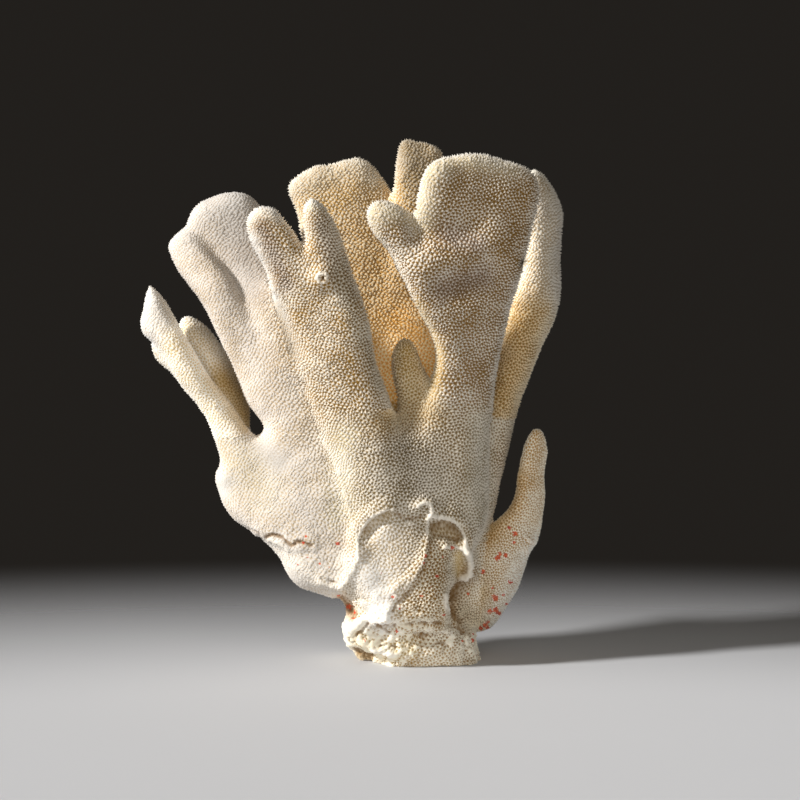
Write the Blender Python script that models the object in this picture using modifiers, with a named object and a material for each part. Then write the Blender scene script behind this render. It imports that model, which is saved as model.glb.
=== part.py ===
"""Cats paw coral: a bleached skeleton of flattened, lobed branches that fan out from one short stump.

Every branch is drawn as a flat outline in the front elevation, X to the right and Z up, in millimetres. The
outline becomes a slab, the slab is puffed into a blade with round edges, and the blade is set at its own
depth. The blades are fused into one colony, cut off flat at the foot, and parted at the main forks.

The drawing plane is Y = 0, seen from VIEWPOINT. A blade in front of the plane or behind it is moved along the
lines of sight, so that the outlines overlap each other in the drawing as the branches do in the real colony.
"""

import math

import bmesh
import bpy
import numpy as np
from mathutils.bvhtree import BVHTree

MM = 0.001

# The colony stands 174 mm high and 140 mm wide. Its foot is cut at Z = 0.
VIEWPOINT = np.array((-6.7, -1089.3, 241.9))
SLAB_VOXEL = 1.5
SKIN_VOXEL = 1.1
SKIN_SMOOTHING = 12
SMOOTHING_LOSS = 0.45
LUMP_SIZE = 16.0
LUMP_HEIGHT = 1.6
COLONY_TRIANGLES = 7300
FORK_GAP = 0.3
CURVE_STEPS = 5
EDGE_BLUNTNESS = 0.3

# name: outline (x, z); depth pins (x, z, depth); half thickness (z, half) up the branch; width of the
# round edge
BRANCHES = {
    "foot": dict(
        outline=[(-27, 22.5), (-24.4, 17.5), (-25.4, 12.5), (-25.4, 7.5), (-23.2, 3.5), (-20.5, 0.5),
                 (-16, -1.5), (-11, -8), (0, -10), (19, -7), (20.2, 0), (19, 5), (18.5, 10), (15, 16),
                 (16, 26), (18, 36), (4, 44), (-16, 40), (-22, 30)],
        pins=[(0, 0, 3), (-20, 20, 2), (15, 20, 4)],
        half=[(0, 13), (12, 14), (20, 15), (44, 10)], rounding=13,
    ),
    "heart": dict(
        outline=[(-14, 6), (-19, 18), (-22, 32), (-25, 46), (-29, 60), (-31, 72), (-22, 80), (-12, 81),
                 (0, 82), (9, 79), (14, 71), (18, 62), (22, 52), (21, 43.5), (16, 35.5), (11, 27),
                 (10, 18), (12, 6)],
        pins=[(0, 10, 2), (0, 50, 2), (0, 82, 4)],
        half=[(6, 13), (60, 10), (82, 5)], rounding=12,
    ),
    "front": dict(
        outline=[(-12, 8), (-18, 18), (-23, 26), (-27.5, 34), (-28, 44), (-28, 50), (-28.5, 57),
                 (-29.5, 64), (-31.5, 71), (-34.5, 79), (-38, 89), (-41.5, 100), (-45, 112), (-48, 123),
                 (-51, 132), (-55, 139), (-57.3, 146), (-56.3, 151), (-52.5, 153.3), (-48, 152.3),
                 (-45, 148.8), (-42, 144.5), (-38.3, 138.8), (-37.9, 146), (-39, 152), (-37.8, 155.6),
                 (-34.8, 156), (-31.8, 153.3), (-28.5, 148), (-25.5, 141), (-22.8, 132), (-19.5, 122),
                 (-16.8, 113), (-15.2, 104), (-13.2, 96), (-11, 90.5), (-8.2, 84), (-3, 80), (1.5, 89),
                 (4, 95.5), (5.2, 102), (5.2, 107), (3.2, 112.5), (-0.5, 119), (-4, 126), (-7.5, 133),
                 (-11, 139.5), (-15, 144), (-17.3, 149), (-16.5, 153.7), (-13, 155), (-8, 153.8),
                 (-4, 151), (-0.7, 144.8), (-0.8, 152), (0, 158.5), (1.8, 165), (5.5, 168.6), (11, 169.8),
                 (17, 171.3), (23, 170.4), (28, 168.2), (33, 167), (37, 164.8), (39.2, 159.5),
                 (38.8, 153), (36.6, 146), (35, 138), (32.5, 129), (30, 119.5), (27.5, 109), (25.2, 98),
                 (23.8, 86), (22.9, 74), (22.7, 62), (22.5, 52), (20.5, 43.5), (16.5, 35.5), (11.8, 27),
                 (10.5, 18), (9, 8)],
        pins=[(0, 10, -4), (0, 30, -6), (0, 52, -6), (-15, 56, -9), (-24, 55, -6), (18, 55, -2),
              (-16, 74, -11), (-4, 78, -8), (22, 80, -3), (-32, 80, -7), (-42, 110, -8), (-20, 115, -15),
              (-53, 148, -13), (-35, 153, -18), (8, 118, -12), (28, 115, -5), (-14, 150, -14),
              (12, 166, -13), (37, 160, -5), (20, 140, -10)],
        half=[(8, 13), (45, 11), (80, 8.5), (120, 7.2), (170, 6)], rounding=9.5,
    ),
    "middle_finger": dict(
        outline=[(-6.5, 72), (-6.9, 84), (-7.6, 91), (-9.5, 100), (-8.7, 106.5), (-5.2, 110.3),
                 (-2.2, 108), (-0.3, 103), (1.8, 98), (4, 92), (4, 82), (2, 72)],
        pins=[(-4, 75, -8), (-8, 100, -5.5), (-4, 110, -4.5)],
        half=[(72, 7), (110, 4.5)], rounding=6,
    ),
    "left": dict(
        outline=[(-16, 18), (-26, 21), (-33, 22.6), (-40, 25), (-44.8, 30), (-47.5, 36), (-52, 40.5),
                 (-58, 45.5), (-63, 49.3), (-66, 53.5), (-67.8, 59), (-68.8, 63.5), (-66.8, 67.5),
                 (-68.6, 75), (-71.3, 83), (-76, 89.8), (-80.5, 95.5), (-85, 103), (-88.8, 108),
                 (-92, 110.5), (-93.4, 115), (-91.8, 119.5), (-91.2, 123.5), (-90.4, 128.5),
                 (-87.4, 125.8), (-83.8, 120.8), (-80.8, 115.5), (-76.8, 108.2), (-73, 101), (-69, 94.5),
                 (-64.3, 88.5), (-59.6, 82), (-56.8, 78), (-54.4, 76.6), (-52.2, 78), (-52.2, 80.5),
                 (-55.6, 84.8), (-58.6, 91), (-61.8, 99), (-65.8, 107), (-69.6, 115), (-72.8, 121.5),
                 (-77.5, 128.5), (-81.5, 134.5), (-83.3, 140), (-81.5, 143.8), (-77.5, 146.5),
                 (-74, 144.5), (-69.5, 138), (-63.5, 130.5), (-58.5, 121.5), (-52, 112), (-44, 102),
                 (-36, 90), (-26, 74), (-18, 50), (-14, 30)],
        pins=[(-25, 30, -3), (-24, 48, -5), (-60, 55, 0), (-42, 55, -5), (-62, 68, 0), (-75, 95, 0),
              (-90, 122, 3), (-48, 80, -2), (-60, 100, 2), (-80, 140, 8), (-66, 128, 1), (-45, 106, -5),
              (-28, 70, -4)],
        half=[(18, 11), (60, 8), (90, 7), (145, 5.5)], rounding=8,
    ),
    "far_left_lobe": dict(
        outline=[(-76, 90), (-82.5, 97.2), (-87, 100.8), (-89.3, 105), (-89, 109), (-85, 110.5),
                 (-80, 104), (-74, 95)],
        pins=[(-78, 93, 3), (-88, 106, 6), (-80, 106, 4)],
        half=[(90, 5.5), (110, 4.5)], rounding=5,
    ),
    "inner_left_lobe": dict(
        outline=[(-55, 62), (-60, 72), (-63, 81), (-68.5, 92), (-75, 103), (-80, 112), (-79.8, 115.5),
                 (-77, 117.2), (-72.5, 114.4), (-68, 109.5), (-62, 101), (-58.2, 93), (-56.8, 86.5),
                 (-56.8, 81), (-55.5, 74), (-50, 64)],
        pins=[(-55, 66, 5), (-77, 115, 17), (-69, 103, 12.5), (-61, 91, 12.5), (-57.5, 80, 9)],
        half=[(62, 6), (118, 5)], rounding=6,
    ),
    "back_left_inner": dict(
        outline=[(-34, 76), (-43, 90), (-50, 101), (-56, 111), (-60, 120), (-63, 128), (-67.5, 134.5),
                 (-73, 140), (-77.3, 145.8), (-77, 150), (-74.2, 154.2), (-69.5, 156.3), (-65, 158.2),
                 (-60, 158.3), (-55.7, 156.5), (-51.3, 151.5), (-48, 146), (-46, 137), (-45.5, 128),
                 (-43, 117), (-38, 107), (-31, 92), (-27, 78)],
        pins=[(-33, 80, -4), (-50, 101, -3), (-42, 104, -5), (-60, 125, 5), (-50, 115, -3), (-50, 122, 0),
              (-49, 131, 6), (-68, 140, 10), (-65, 155, 12), (-50, 145, 11)],
        half=[(76, 7), (159, 6.5)], rounding=8,
    ),
    "back_fan": dict(
        outline=[(-14, 40), (-22, 60), (-27, 80), (-32, 100), (-36, 120), (-38.5, 140), (-41, 152.5),
                 (-43.9, 159.5), (-42.3, 162.3), (-38, 164.8), (-34.5, 166.6), (-29.5, 166.6),
                 (-25, 168.4), (-20, 169.2), (-16.6, 167.3), (-12.9, 162.8), (-9.5, 158), (-6, 150),
                 (0, 138), (7, 126), (12, 114), (14, 100), (13, 80), (12, 60), (10, 40)],
        pins=[(-5, 42, 8), (-10, 100, 17), (-35, 160, 27), (-15, 165, 29), (12, 110, 18)],
        half=[(40, 11), (100, 8), (169, 6.5)], rounding=15,
    ),
    "back_finger": dict(
        outline=[(-14, 112), (-12.5, 132), (-10.4, 148), (-9.2, 158), (-8.2, 166), (-7.2, 173),
                 (-5.2, 176.4), (-1.5, 175), (3.6, 174), (7, 171.8), (8.3, 167.5), (9.8, 158), (11, 144),
                 (12, 128), (8, 112)],
        pins=[(0, 115, 19), (-5, 173, 23), (5, 170, 23)],
        half=[(112, 6.5), (175, 5)], rounding=6,
    ),
    "right_back": dict(
        outline=[(8, 30), (12, 46), (15, 62), (18, 78), (21, 93), (25, 106), (29, 120), (32, 130),
                 (33.3, 137), (33.5, 145), (32, 154), (33, 161), (36.5, 165.3), (39.5, 164.7),
                 (43, 160.3), (45.8, 154.3), (47, 149.3), (46, 144), (45.7, 138), (46.3, 131),
                 (45.8, 122.5), (43.8, 114), (40.3, 107.3), (37.3, 99), (34.8, 93), (32, 84),
                 (29.3, 73.5), (27, 62), (24.8, 52), (22, 43), (16, 32)],
        pins=[(16, 40, 7), (28, 90, 16), (40, 130, 22), (40, 160, 25)],
        half=[(30, 9), (90, 11), (130, 13), (165, 11)], rounding=9,
    ),
    "right_finger": dict(
        outline=[(8, 14), (8, 24), (12, 33), (19, 40.5), (25, 47), (29.5, 51.3), (31.5, 56.5),
                 (32.3, 62.5), (33.5, 69), (35.8, 76), (38.9, 80.4), (41.9, 77), (43, 70.5), (41.9, 63.5),
                 (41.9, 55), (40.7, 45.5), (39.2, 40.4), (37.6, 39), (35.6, 32.8), (32.6, 24),
                 (28.6, 17.3), (23, 11), (14, 10.5)],
        pins=[(14, 20, 6), (30, 45, 9), (39, 78, 3)],
        half=[(8, 10), (45, 7), (79, 4.5)], rounding=7,
    ),
}

# Relief on the front of the colony: line (x, z) in the drawing, half width, height out of the skin (- for
# a hollow)
RELIEF = [
    ([(-19.9, 37.4), (-21.2, 40.5), (-20.9, 44.2), (-19.1, 47.8), (-16.6, 50.4), (-13.5, 52),
      (-9.9, 52.5)], 2.0, 1.5),
    ([(-18.2, 43), (-15.8, 47), (-12, 49.2)], 1.8, -1.0),
    ([(-0.7, 53), (1.4, 54), (3.4, 53.8), (5.5, 49.8), (9.1, 49.8), (12.2, 48.6), (14.4, 46.2), (15.4, 42.6),
      (15.2, 39.5), (14.9, 36.4)], 2.0, 1.8),
    ([(16.3, 35.5), (17.0, 33), (16.5, 30), (13.5, 27.7)], 2.2, 1.8),
    ([(4, 45), (8, 45.6), (11.6, 44.2)], 3.0, -2.6),
    ([(12.8, 38), (12.8, 31)], 2.6, -1.8),
    ([(2.4, 48.8), (3.2, 42.1), (1.9, 37.4), (0.4, 33.2), (-2.7, 29), (-6.3, 26.4), (-8.9, 23.8)], 1.6, 1.1),
    ([(-22.2, 33.2), (-23.7, 28.5), (-26.3, 25.6)], 1.8, 1.0),
    ([(-10.4, 16.4), (-14, 13.3), (-19, 12.5)], 2.4, 1.8),
    ([(-14, 11), (-6, 11.6), (4, 11.8), (12, 12.2)], 1.8, -1.4),
    ([(-21.5, 31), (-19.5, 23), (-15, 15)], 5.0, 1.8),
    ([(-26.5, 20), (-24, 17)], 3.0, -2.6),
    ([(-23, 12)], 4.5, 1.8),
    ([(0.8, 8.6)], 3.0, -2.4),
    ([(-23, 2), (-19, 0.6), (-14, -0.5)], 3.0, -2.4),
    ([(-18, 7), (-8, 4.5), (2, 4), (11, 5)], 3.0, 1.8),
    ([(7, 20)], 3.4, 1.3),
    ([(13.6, 26), (11.4, 21), (12.0, 15.5), (14.2, 11.5)], 2.2, -2.6),
    ([(10, 12)], 3.0, 1.2),
    ([(-55, 43.5), (-49, 42.3), (-43.6, 40.2), (-37, 40.7)], 1.8, 0.6),
    ([(-32.7, 28), (-26, 26)], 2.0, 1.0),
    ([(-67, 63)], 3.5, 1.2),
    ([(-32.4, 129.8)], 3.2, 2.4),
    ([(-49.5, 126.5)], 2.8, 1.2),
    ([(21.5, 56), (22.5, 72)], 3.0, -1.0),
    ([(2, 143), (9, 144), (16, 147)], 5.0, -1.6),
    ([(9, 126), (16, 128), (22, 130)], 5.0, -1.5),
    ([(3, 135), (13, 137.5), (25, 142)], 5.0, 1.1),
    ([(15, 163), (21, 160)], 5.0, -1.0),
    ([(18, 109)], 5.0, -0.9),
    ([(2, 152), (5, 162)], 4.0, 0.8),
    ([(-88.5, 116.5), (-84, 113.5)], 2.5, -1.0),
    ([(38.1, 40), (36, 41)], 2.6, 1.4),
]

# Cuts across the forks. Line (x, z) of the cut in the drawing, from depth, to depth
FORK_CUTS = {
    "stump": ([(-35, 19.6), (-28.3, 20.8), (-20, 23), (20.9, 23)], -40, 45),
    "right_finger": ([(21.2, 3), (20.2, 10), (20.6, 24), (22.6, 43), (25.6, 50.5)], -40, 45),
    "left_crease": ([(-28.3, 20.8), (-23.9, 32), (-23.7, 50), (-27, 64), (-33.5, 78), (-41, 98),
                     (-46.2, 115), (-49.2, 124.5), (-50.8, 130)], -40, 45),
    "left_blade_behind": ([(-51, 130), (-34, 130)], -3.3, 30),
    "left_blades": ([(-72, 75.5), (-54.2, 79), (-33.5, 78)], -40, 45),
    "front_left": ([(-38, 89.5), (-9.5, 87.5), (-8.5, 92)], -40, 45),
    "behind_middle_finger": ([(-9.5, 87.5), (17.5, 88)], 1, 45),
    "front_right": ([(4.4, 99), (5, 93.5), (28, 87)], -40, 4.4),
    "right_back": ([(14.5, 85), (37, 79.5)], 3, 45),
}

# A point (x, depth, z) in the middle of each part
PARTS = {
    "stump": (0, 1, 11),
    "palm": (0, 0, 55),
    "front_left_blade": (-32, -9, 118),
    "front_right_blade": (15, -8, 130),
    "left_flank": (-45, -2, 55),
    "far_left_branch": (-73, 0, 98),
    "back_left_blade": (-58, 3, 118),
    "back_blade": (-14, 18, 130),
    "right_back_branch": (37, 19, 120),
    "right_finger": (32, 7, 42),
}

# Paint of each part: colour, roughness
PAINT = {
    "stump": ((0.66, 0.55, 0.38), 0.9),
    "palm": ((0.74, 0.68, 0.55), 0.85),
    "front_left_blade": ((0.70, 0.64, 0.50), 0.85),
    "front_right_blade": ((0.68, 0.62, 0.52), 0.85),
    "left_flank": ((0.80, 0.75, 0.62), 0.85),
    "far_left_branch": ((0.80, 0.75, 0.62), 0.85),
    "back_left_blade": ((0.82, 0.78, 0.68), 0.85),
    "back_blade": ((0.72, 0.57, 0.33), 0.85),
    "right_back_branch": ((0.78, 0.66, 0.46), 0.85),
    "right_finger": ((0.70, 0.58, 0.40), 0.85),
}


def closed_curve(points):
    """A smooth closed line through the points of an outline, as a Catmull-Rom spline."""
    p = np.array(points, float)
    before, after, beyond = np.roll(p, 1, 0), np.roll(p, -1, 0), np.roll(p, -2, 0)
    line = []
    for t in np.arange(CURVE_STEPS) / CURVE_STEPS:
        line.append(
            0.5 * (2 * p + (after - before) * t + (2 * before - 5 * p + 4 * after - beyond) * t**2
                   + (3 * p - before - 3 * after + beyond) * t**3)
        )
    return np.stack(line, 1).reshape(-1, 2)


def inset(x, z, line):
    """How far each point lies from the outline."""
    a, b = line, np.roll(line, -1, 0)
    along = b - a
    point = np.stack((x, z), 1)[:, None, :]
    share = ((point - a) * along).sum(2) / np.maximum((along**2).sum(1), 1e-9)
    foot = a + np.clip(share, 0, 1)[..., None] * along
    return np.sqrt(((point - foot) ** 2).sum(2)).min(1)


def spline_kernel(r):
    """The bending kernel of a thin plate, at distance r."""
    return r**2 * np.log(np.maximum(r, 1e-9))


def depth_at(pins, x, z):
    """The depth of a thin plate that bends through the pins."""
    pins = np.array(pins, float)
    count = len(pins)
    system = np.zeros((count + 3, count + 3))
    apart = pins[:, None, :2] - pins[None, :, :2]
    system[:count, :count] = spline_kernel(np.hypot(apart[..., 0], apart[..., 1]))
    system[:count, count:] = np.column_stack((np.ones(count), pins[:, :2]))
    system[count:, :count] = system[:count, count:].T
    weight = np.linalg.lstsq(system, np.append(pins[:, 2], (0, 0, 0)), rcond=None)[0]
    from_pins = np.hypot(x[:, None] - pins[:, 0], z[:, None] - pins[:, 1])
    plane = weight[count] + weight[count + 1] * x + weight[count + 2] * z
    return spline_kernel(from_pins) @ weight[:count] + plane


def mesh_of(obj, name):
    """The evaluated mesh of an object as a new object that stands where it stood."""
    mesh = bpy.data.meshes.new_from_object(obj.evaluated_get(bpy.context.evaluated_depsgraph_get()))
    made = bpy.data.objects.new(name, mesh)
    made.matrix_world = obj.matrix_world
    bpy.context.collection.objects.link(made)
    bpy.data.objects.remove(obj)
    return made


def slab(name, line):
    """The outline as a flat plate, 2 mm thick, standing on the drawing plane and evenly meshed."""
    curve = bpy.data.curves.new(name, "CURVE")
    curve.dimensions = "2D"
    curve.fill_mode = "BOTH"
    curve.extrude = MM
    spline = curve.splines.new("POLY")
    spline.points.add(len(line) - 1)
    for point, (x, z) in zip(spline.points, line):
        point.co = (x * MM, z * MM, 0, 1)
    spline.use_cyclic_u = True
    obj = bpy.data.objects.new(name, curve)
    bpy.context.collection.objects.link(obj)
    bpy.context.view_layer.update()
    plate = mesh_of(obj, name)
    work = bmesh.new()
    work.from_mesh(plate.data)
    bmesh.ops.remove_doubles(work, verts=work.verts, dist=0.01 * MM)
    work.to_mesh(plate.data)
    work.free()
    remesh = plate.modifiers.new("even_faces", "REMESH")
    remesh.mode = "VOXEL"
    remesh.voxel_size = SLAB_VOXEL * MM
    bpy.context.view_layer.update()
    return mesh_of(plate, name)


def puff(name, outline, pins, half, rounding):
    """A blade: the slab swollen to its thickness, thin at its rim, and set back along the lines of sight."""
    line = closed_curve(outline)
    blade = slab(name, line)
    co = np.empty(len(blade.data.vertices) * 3)
    blade.data.vertices.foreach_get("co", co)
    x, z, side = (co.reshape(-1, 3) / MM).T
    thickness = np.interp(z, *np.transpose(half))
    rim = np.clip(inset(x, z, line) / rounding, 0, 1)
    swell = EDGE_BLUNTNESS + (1 - EDGE_BLUNTNESS) * np.sqrt(1 - (1 - rim) ** 2)
    depth = depth_at(pins, x, z) - np.clip(side, -1, 1) * thickness * swell
    drawn = np.column_stack((x, np.zeros_like(x), z))
    placed = VIEWPOINT + (drawn - VIEWPOINT) * (1 - depth / VIEWPOINT[1])[:, None]
    blade.data.vertices.foreach_set("co", (placed * MM).ravel())
    blade.data.update()
    return blade


def from_line(x, z, line):
    """How far each point lies from an open line, or from a single point."""
    if len(line) == 1:
        return np.hypot(x - line[0][0], z - line[0][1])
    a, b = np.array(line[:-1], float), np.array(line[1:], float)
    along = b - a
    point = np.stack((x, z), 1)[:, None, :]
    share = ((point - a) * along).sum(2) / (along**2).sum(1)
    near = a + np.clip(share, 0, 1)[..., None] * along
    return np.sqrt(((point - near) ** 2).sum(2)).min(1)


def raise_relief(colony):
    """Ridges, knobs and hollows, put on the skin that faces the viewpoint and is not hidden from it."""
    mesh = colony.data
    count = len(mesh.vertices)
    co = np.empty(count * 3)
    mesh.vertices.foreach_get("co", co)
    co = co.reshape(-1, 3) / MM
    normal = np.empty(count * 3)
    mesh.vertices.foreach_get("normal", normal)
    normal = normal.reshape(-1, 3)
    sight = co - VIEWPOINT
    scale = VIEWPOINT[1] / (VIEWPOINT[1] - co[:, 1])
    x, z = (VIEWPOINT[::2] + sight[:, ::2] * scale[:, None]).T
    sight = sight / np.linalg.norm(sight, axis=1)[:, None]
    facing = np.clip(-(normal * sight).sum(1) * 2, 0, 1)
    tree = BVHTree.FromObject(colony, bpy.context.evaluated_depsgraph_get())
    lift = np.zeros(count)
    for line, width, height in RELIEF:
        away = from_line(x, z, line)
        swell = 0.5 + 0.5 * np.cos(np.minimum(away / width, 2) * math.pi / 2)
        lift += height * np.where(away < 2 * width, swell, 0)
    for index in np.flatnonzero((lift != 0) & (facing > 0)):
        distance = tree.ray_cast(VIEWPOINT * MM, sight[index])[3]
        if distance is not None and distance / MM < (co[index] - VIEWPOINT) @ sight[index] - 2:
            facing[index] = 0
    mesh.vertices.foreach_set("co", ((co + normal * (lift * facing)[:, None]) * MM).ravel())
    mesh.update()


def add_cutter(name, size, place, turn):
    """A box that is only there to cut."""
    bpy.ops.mesh.primitive_cube_add(size=1)
    box = bpy.context.view_layer.objects.active
    box.name = name
    box.scale = [side * MM for side in size]
    box.location = [side * MM for side in place]
    box.rotation_euler = (0, turn, 0)
    box.hide_render = True
    box.display_type = "WIRE"
    bpy.context.collection.objects.unlink(box)
    bpy.data.collections["cutters"].objects.link(box)
    return box


def part_at_forks(colony):
    """The colony cut flat at the foot and parted by thin gaps, as one mesh."""
    boxes = [add_cutter("foot_cut", (120, 120, 40), (0, 0, -20), 0)]
    for name, (line, front, back) in FORK_CUTS.items():
        for (x0, z0), (x1, z1) in zip(line, line[1:]):
            size = (math.hypot(x1 - x0, z1 - z0) + FORK_GAP, back - front, FORK_GAP)
            place = ((x0 + x1) / 2, (front + back) / 2, (z0 + z1) / 2)
            boxes.append(add_cutter(name + "_cut", size, place, -math.atan2(z1 - z0, x1 - x0)))
    for box in boxes:
        cut = colony.modifiers.new(box.name, "BOOLEAN")
        cut.operation = "DIFFERENCE"
        cut.solver = "EXACT"
        cut.object = box
    bpy.context.view_layer.update()
    return mesh_of(colony, "colony")


def name_parts(colony, collection):
    """The loose solids of the parted colony as named, painted objects."""
    bpy.ops.object.select_all(action="DESELECT")
    colony.select_set(True)
    bpy.context.view_layer.objects.active = colony
    bpy.ops.mesh.separate(type="LOOSE")
    for solid in list(bpy.context.selected_objects):
        middle = np.mean([vertex.co for vertex in solid.data.vertices], 0) / MM
        name = min(PARTS, key=lambda part: np.linalg.norm(middle - PARTS[part]))
        colour, roughness = PAINT[name]
        solid.name = solid.data.name = name
        material = bpy.data.materials.new(name)
        material.use_nodes = True
        shader = material.node_tree.nodes["Principled BSDF"]
        shader.inputs["Base Color"].default_value = (*colour, 1)
        shader.inputs["Roughness"].default_value = roughness
        solid.data.materials.clear()
        solid.data.materials.append(material)
        for home in solid.users_collection:
            home.objects.unlink(solid)
        collection.objects.link(solid)


def clear_scene():
    """Removes what the start-up file holds."""
    for obj in list(bpy.data.objects):
        bpy.data.objects.remove(obj)


def main():
    """Builds the colony and parts it."""
    clear_scene()
    for name in ("cats_paw_coral", "cutters"):
        bpy.context.scene.collection.children.link(bpy.data.collections.new(name))
    blades = [puff(name, **shape) for name, shape in BRANCHES.items()]
    for blade in blades:
        blade.select_set(True)
    bpy.context.view_layer.objects.active = blades[0]
    bpy.ops.object.join()
    colony = bpy.context.view_layer.objects.active
    colony.name = "colony"
    remesh = colony.modifiers.new("fuse", "REMESH")
    remesh.mode = "VOXEL"
    remesh.voxel_size = SKIN_VOXEL * MM
    smooth = colony.modifiers.new("fillets", "SMOOTH")
    smooth.iterations = SKIN_SMOOTHING
    regrow = colony.modifiers.new("regrow", "DISPLACE")
    regrow.mid_level = 0
    regrow.strength = SMOOTHING_LOSS * MM
    lumps = bpy.data.textures.new("lumps", "CLOUDS")
    lumps.noise_scale = LUMP_SIZE * MM
    waves = colony.modifiers.new("lumps", "DISPLACE")
    waves.texture = lumps
    waves.texture_coords = "GLOBAL"
    waves.strength = LUMP_HEIGHT * MM
    bpy.context.view_layer.update()
    colony = mesh_of(colony, "colony")
    bpy.context.view_layer.update()
    raise_relief(colony)
    decimate = colony.modifiers.new("facets", "DECIMATE")
    decimate.ratio = COLONY_TRIANGLES / (2 * len(colony.data.polygons))
    decimate.use_collapse_triangulate = True
    name_parts(part_at_forks(colony), bpy.data.collections["cats_paw_coral"])


main()
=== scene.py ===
"""Cats paw coral: a bleached skeleton of flattened, lobed branches, rough with fine pores all over.

The colony is grown as one skin. Flat outlines, drawn in the front elevation in millimetres, are puffed into
blades, set at their depths and fused. Pores are then seeded over the skin at the coral's own spacing, and
each pore becomes a sunken cup between raised grains. The skin is parted along the nodes of the solid model.
"""

import logging
import math
from dataclasses import dataclass, field
from enum import Enum
from typing import Any, Sequence

import bpy
import numpy as np
from bpy.types import Material, Node, NodeSocket, Object
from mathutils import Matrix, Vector, noise
from mathutils.bvhtree import BVHTree
from mathutils.kdtree import KDTree


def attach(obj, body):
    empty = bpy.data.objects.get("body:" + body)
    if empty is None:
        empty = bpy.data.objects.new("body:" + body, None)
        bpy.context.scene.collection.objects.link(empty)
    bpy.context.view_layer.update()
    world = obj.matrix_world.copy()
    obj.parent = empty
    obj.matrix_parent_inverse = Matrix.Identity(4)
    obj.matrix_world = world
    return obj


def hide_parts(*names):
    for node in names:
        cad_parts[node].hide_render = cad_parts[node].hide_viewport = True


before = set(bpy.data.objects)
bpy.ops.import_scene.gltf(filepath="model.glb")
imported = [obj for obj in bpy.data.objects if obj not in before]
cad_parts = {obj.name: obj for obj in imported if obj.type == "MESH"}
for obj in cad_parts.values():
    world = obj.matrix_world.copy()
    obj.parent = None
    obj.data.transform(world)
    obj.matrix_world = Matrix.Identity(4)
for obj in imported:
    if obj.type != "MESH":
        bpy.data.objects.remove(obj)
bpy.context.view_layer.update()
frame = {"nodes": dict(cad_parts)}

LOG = logging.getLogger("coral")
MM = 0.001
FAR = 1e9
TINY = 1e-9
Array = np.ndarray
Pair = tuple[float, float]
Triple = tuple[float, float, float]
Line = Sequence[Pair]


class Eye:
    """The point from which the outlines were drawn, and the drawing plane Y = 0 before it."""

    place = np.array((-6.7, -1089.3, 241.9))
    aim = np.array((-6.7, 0.0, 88.8))
    lens = 148.5

    @classmethod
    def to_drawing(cls, points: Array) -> tuple[Array, Array]:
        """The x and z of points in space, moved along their lines of sight onto the drawing plane."""
        share = cls.place[1] / (cls.place[1] - points[:, 1])
        flat = cls.place + (points - cls.place) * share[:, None]
        return flat[:, 0], flat[:, 2]

    @classmethod
    def to_depth(cls, x: Array, z: Array, depth: Array) -> Array:
        """Moves drawn points along their lines of sight to a depth behind the drawing plane."""
        drawn = np.column_stack((x, np.zeros_like(x), z))
        return cls.place + (drawn - cls.place) * (1 - depth / cls.place[1])[:, None]


class Plane2D:
    """Measures in the drawing plane."""

    @staticmethod
    def closed_curve(points: Line, steps: int = 5) -> Array:
        """A smooth closed line through the points of an outline, as a Catmull-Rom spline.

        Args:
            points: the outline's points.
            steps: how many straight lengths each span gets.

        Returns:
            The corners of the line.
        """
        p = np.array(points, float)
        before, after, beyond = np.roll(p, 1, 0), np.roll(p, -1, 0), np.roll(p, -2, 0)
        line = [
            0.5 * (2 * p + (after - before) * t + (2 * before - 5 * p + 4 * after - beyond) * t**2
                   + (3 * p - before - 3 * after + beyond) * t**3)
            for t in np.arange(steps) / steps
        ]
        return np.stack(line, 1).reshape(-1, 2)

    @staticmethod
    def distance(x: Array, z: Array, line: Line | Array, closed: bool = False) -> Array:
        """How far each point lies from a line, or from a single point.

        Args:
            x: the points' x.
            z: the points' z.
            line: the line's corners.
            closed: whether the line's end joins its start.

        Returns:
            A distance for each point.
        """
        line = np.array(line, float)
        if len(line) == 1:
            return np.hypot(x - line[0, 0], z - line[0, 1])
        starts, ends = (line, np.roll(line, -1, 0)) if closed else (line[:-1], line[1:])
        best = np.full(len(x), FAR)
        for a, b in zip(starts, ends):
            along = b - a
            share = ((x - a[0]) * along[0] + (z - a[1]) * along[1]) / max(along @ along, TINY)
            share = np.clip(share, 0, 1)
            best = np.minimum(best, np.hypot(x - a[0] - share * along[0], z - a[1] - share * along[1]))
        return best

    @staticmethod
    def plate_depth(pins: Array, x: Array, z: Array) -> Array:
        """The depth of a thin plate that bends through pins.

        Args:
            pins: the pins as rows of (x, z, depth).
            x: the x of points in the drawing.
            z: their z.

        Returns:
            The plate's depth at each point.
        """
        count = len(pins)

        def bend(r: Array) -> Array:
            """The bending kernel at distance r."""
            return r**2 * np.log(np.maximum(r, TINY))

        system = np.zeros((count + 3, count + 3))
        apart = pins[:, None, :2] - pins[None, :, :2]
        system[:count, :count] = bend(np.hypot(apart[..., 0], apart[..., 1]))
        system[:count, count:] = np.column_stack((np.ones(count), pins[:, :2]))
        system[count:, :count] = system[:count, count:].T
        weight = np.linalg.lstsq(system, np.append(pins[:, 2], (0, 0, 0)), rcond=None)[0]
        from_pins = np.hypot(x[:, None] - pins[:, 0], z[:, None] - pins[:, 1])
        flat = weight[count] + weight[count + 1] * x + weight[count + 2] * z
        return bend(from_pins) @ weight[:count] + flat


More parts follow.
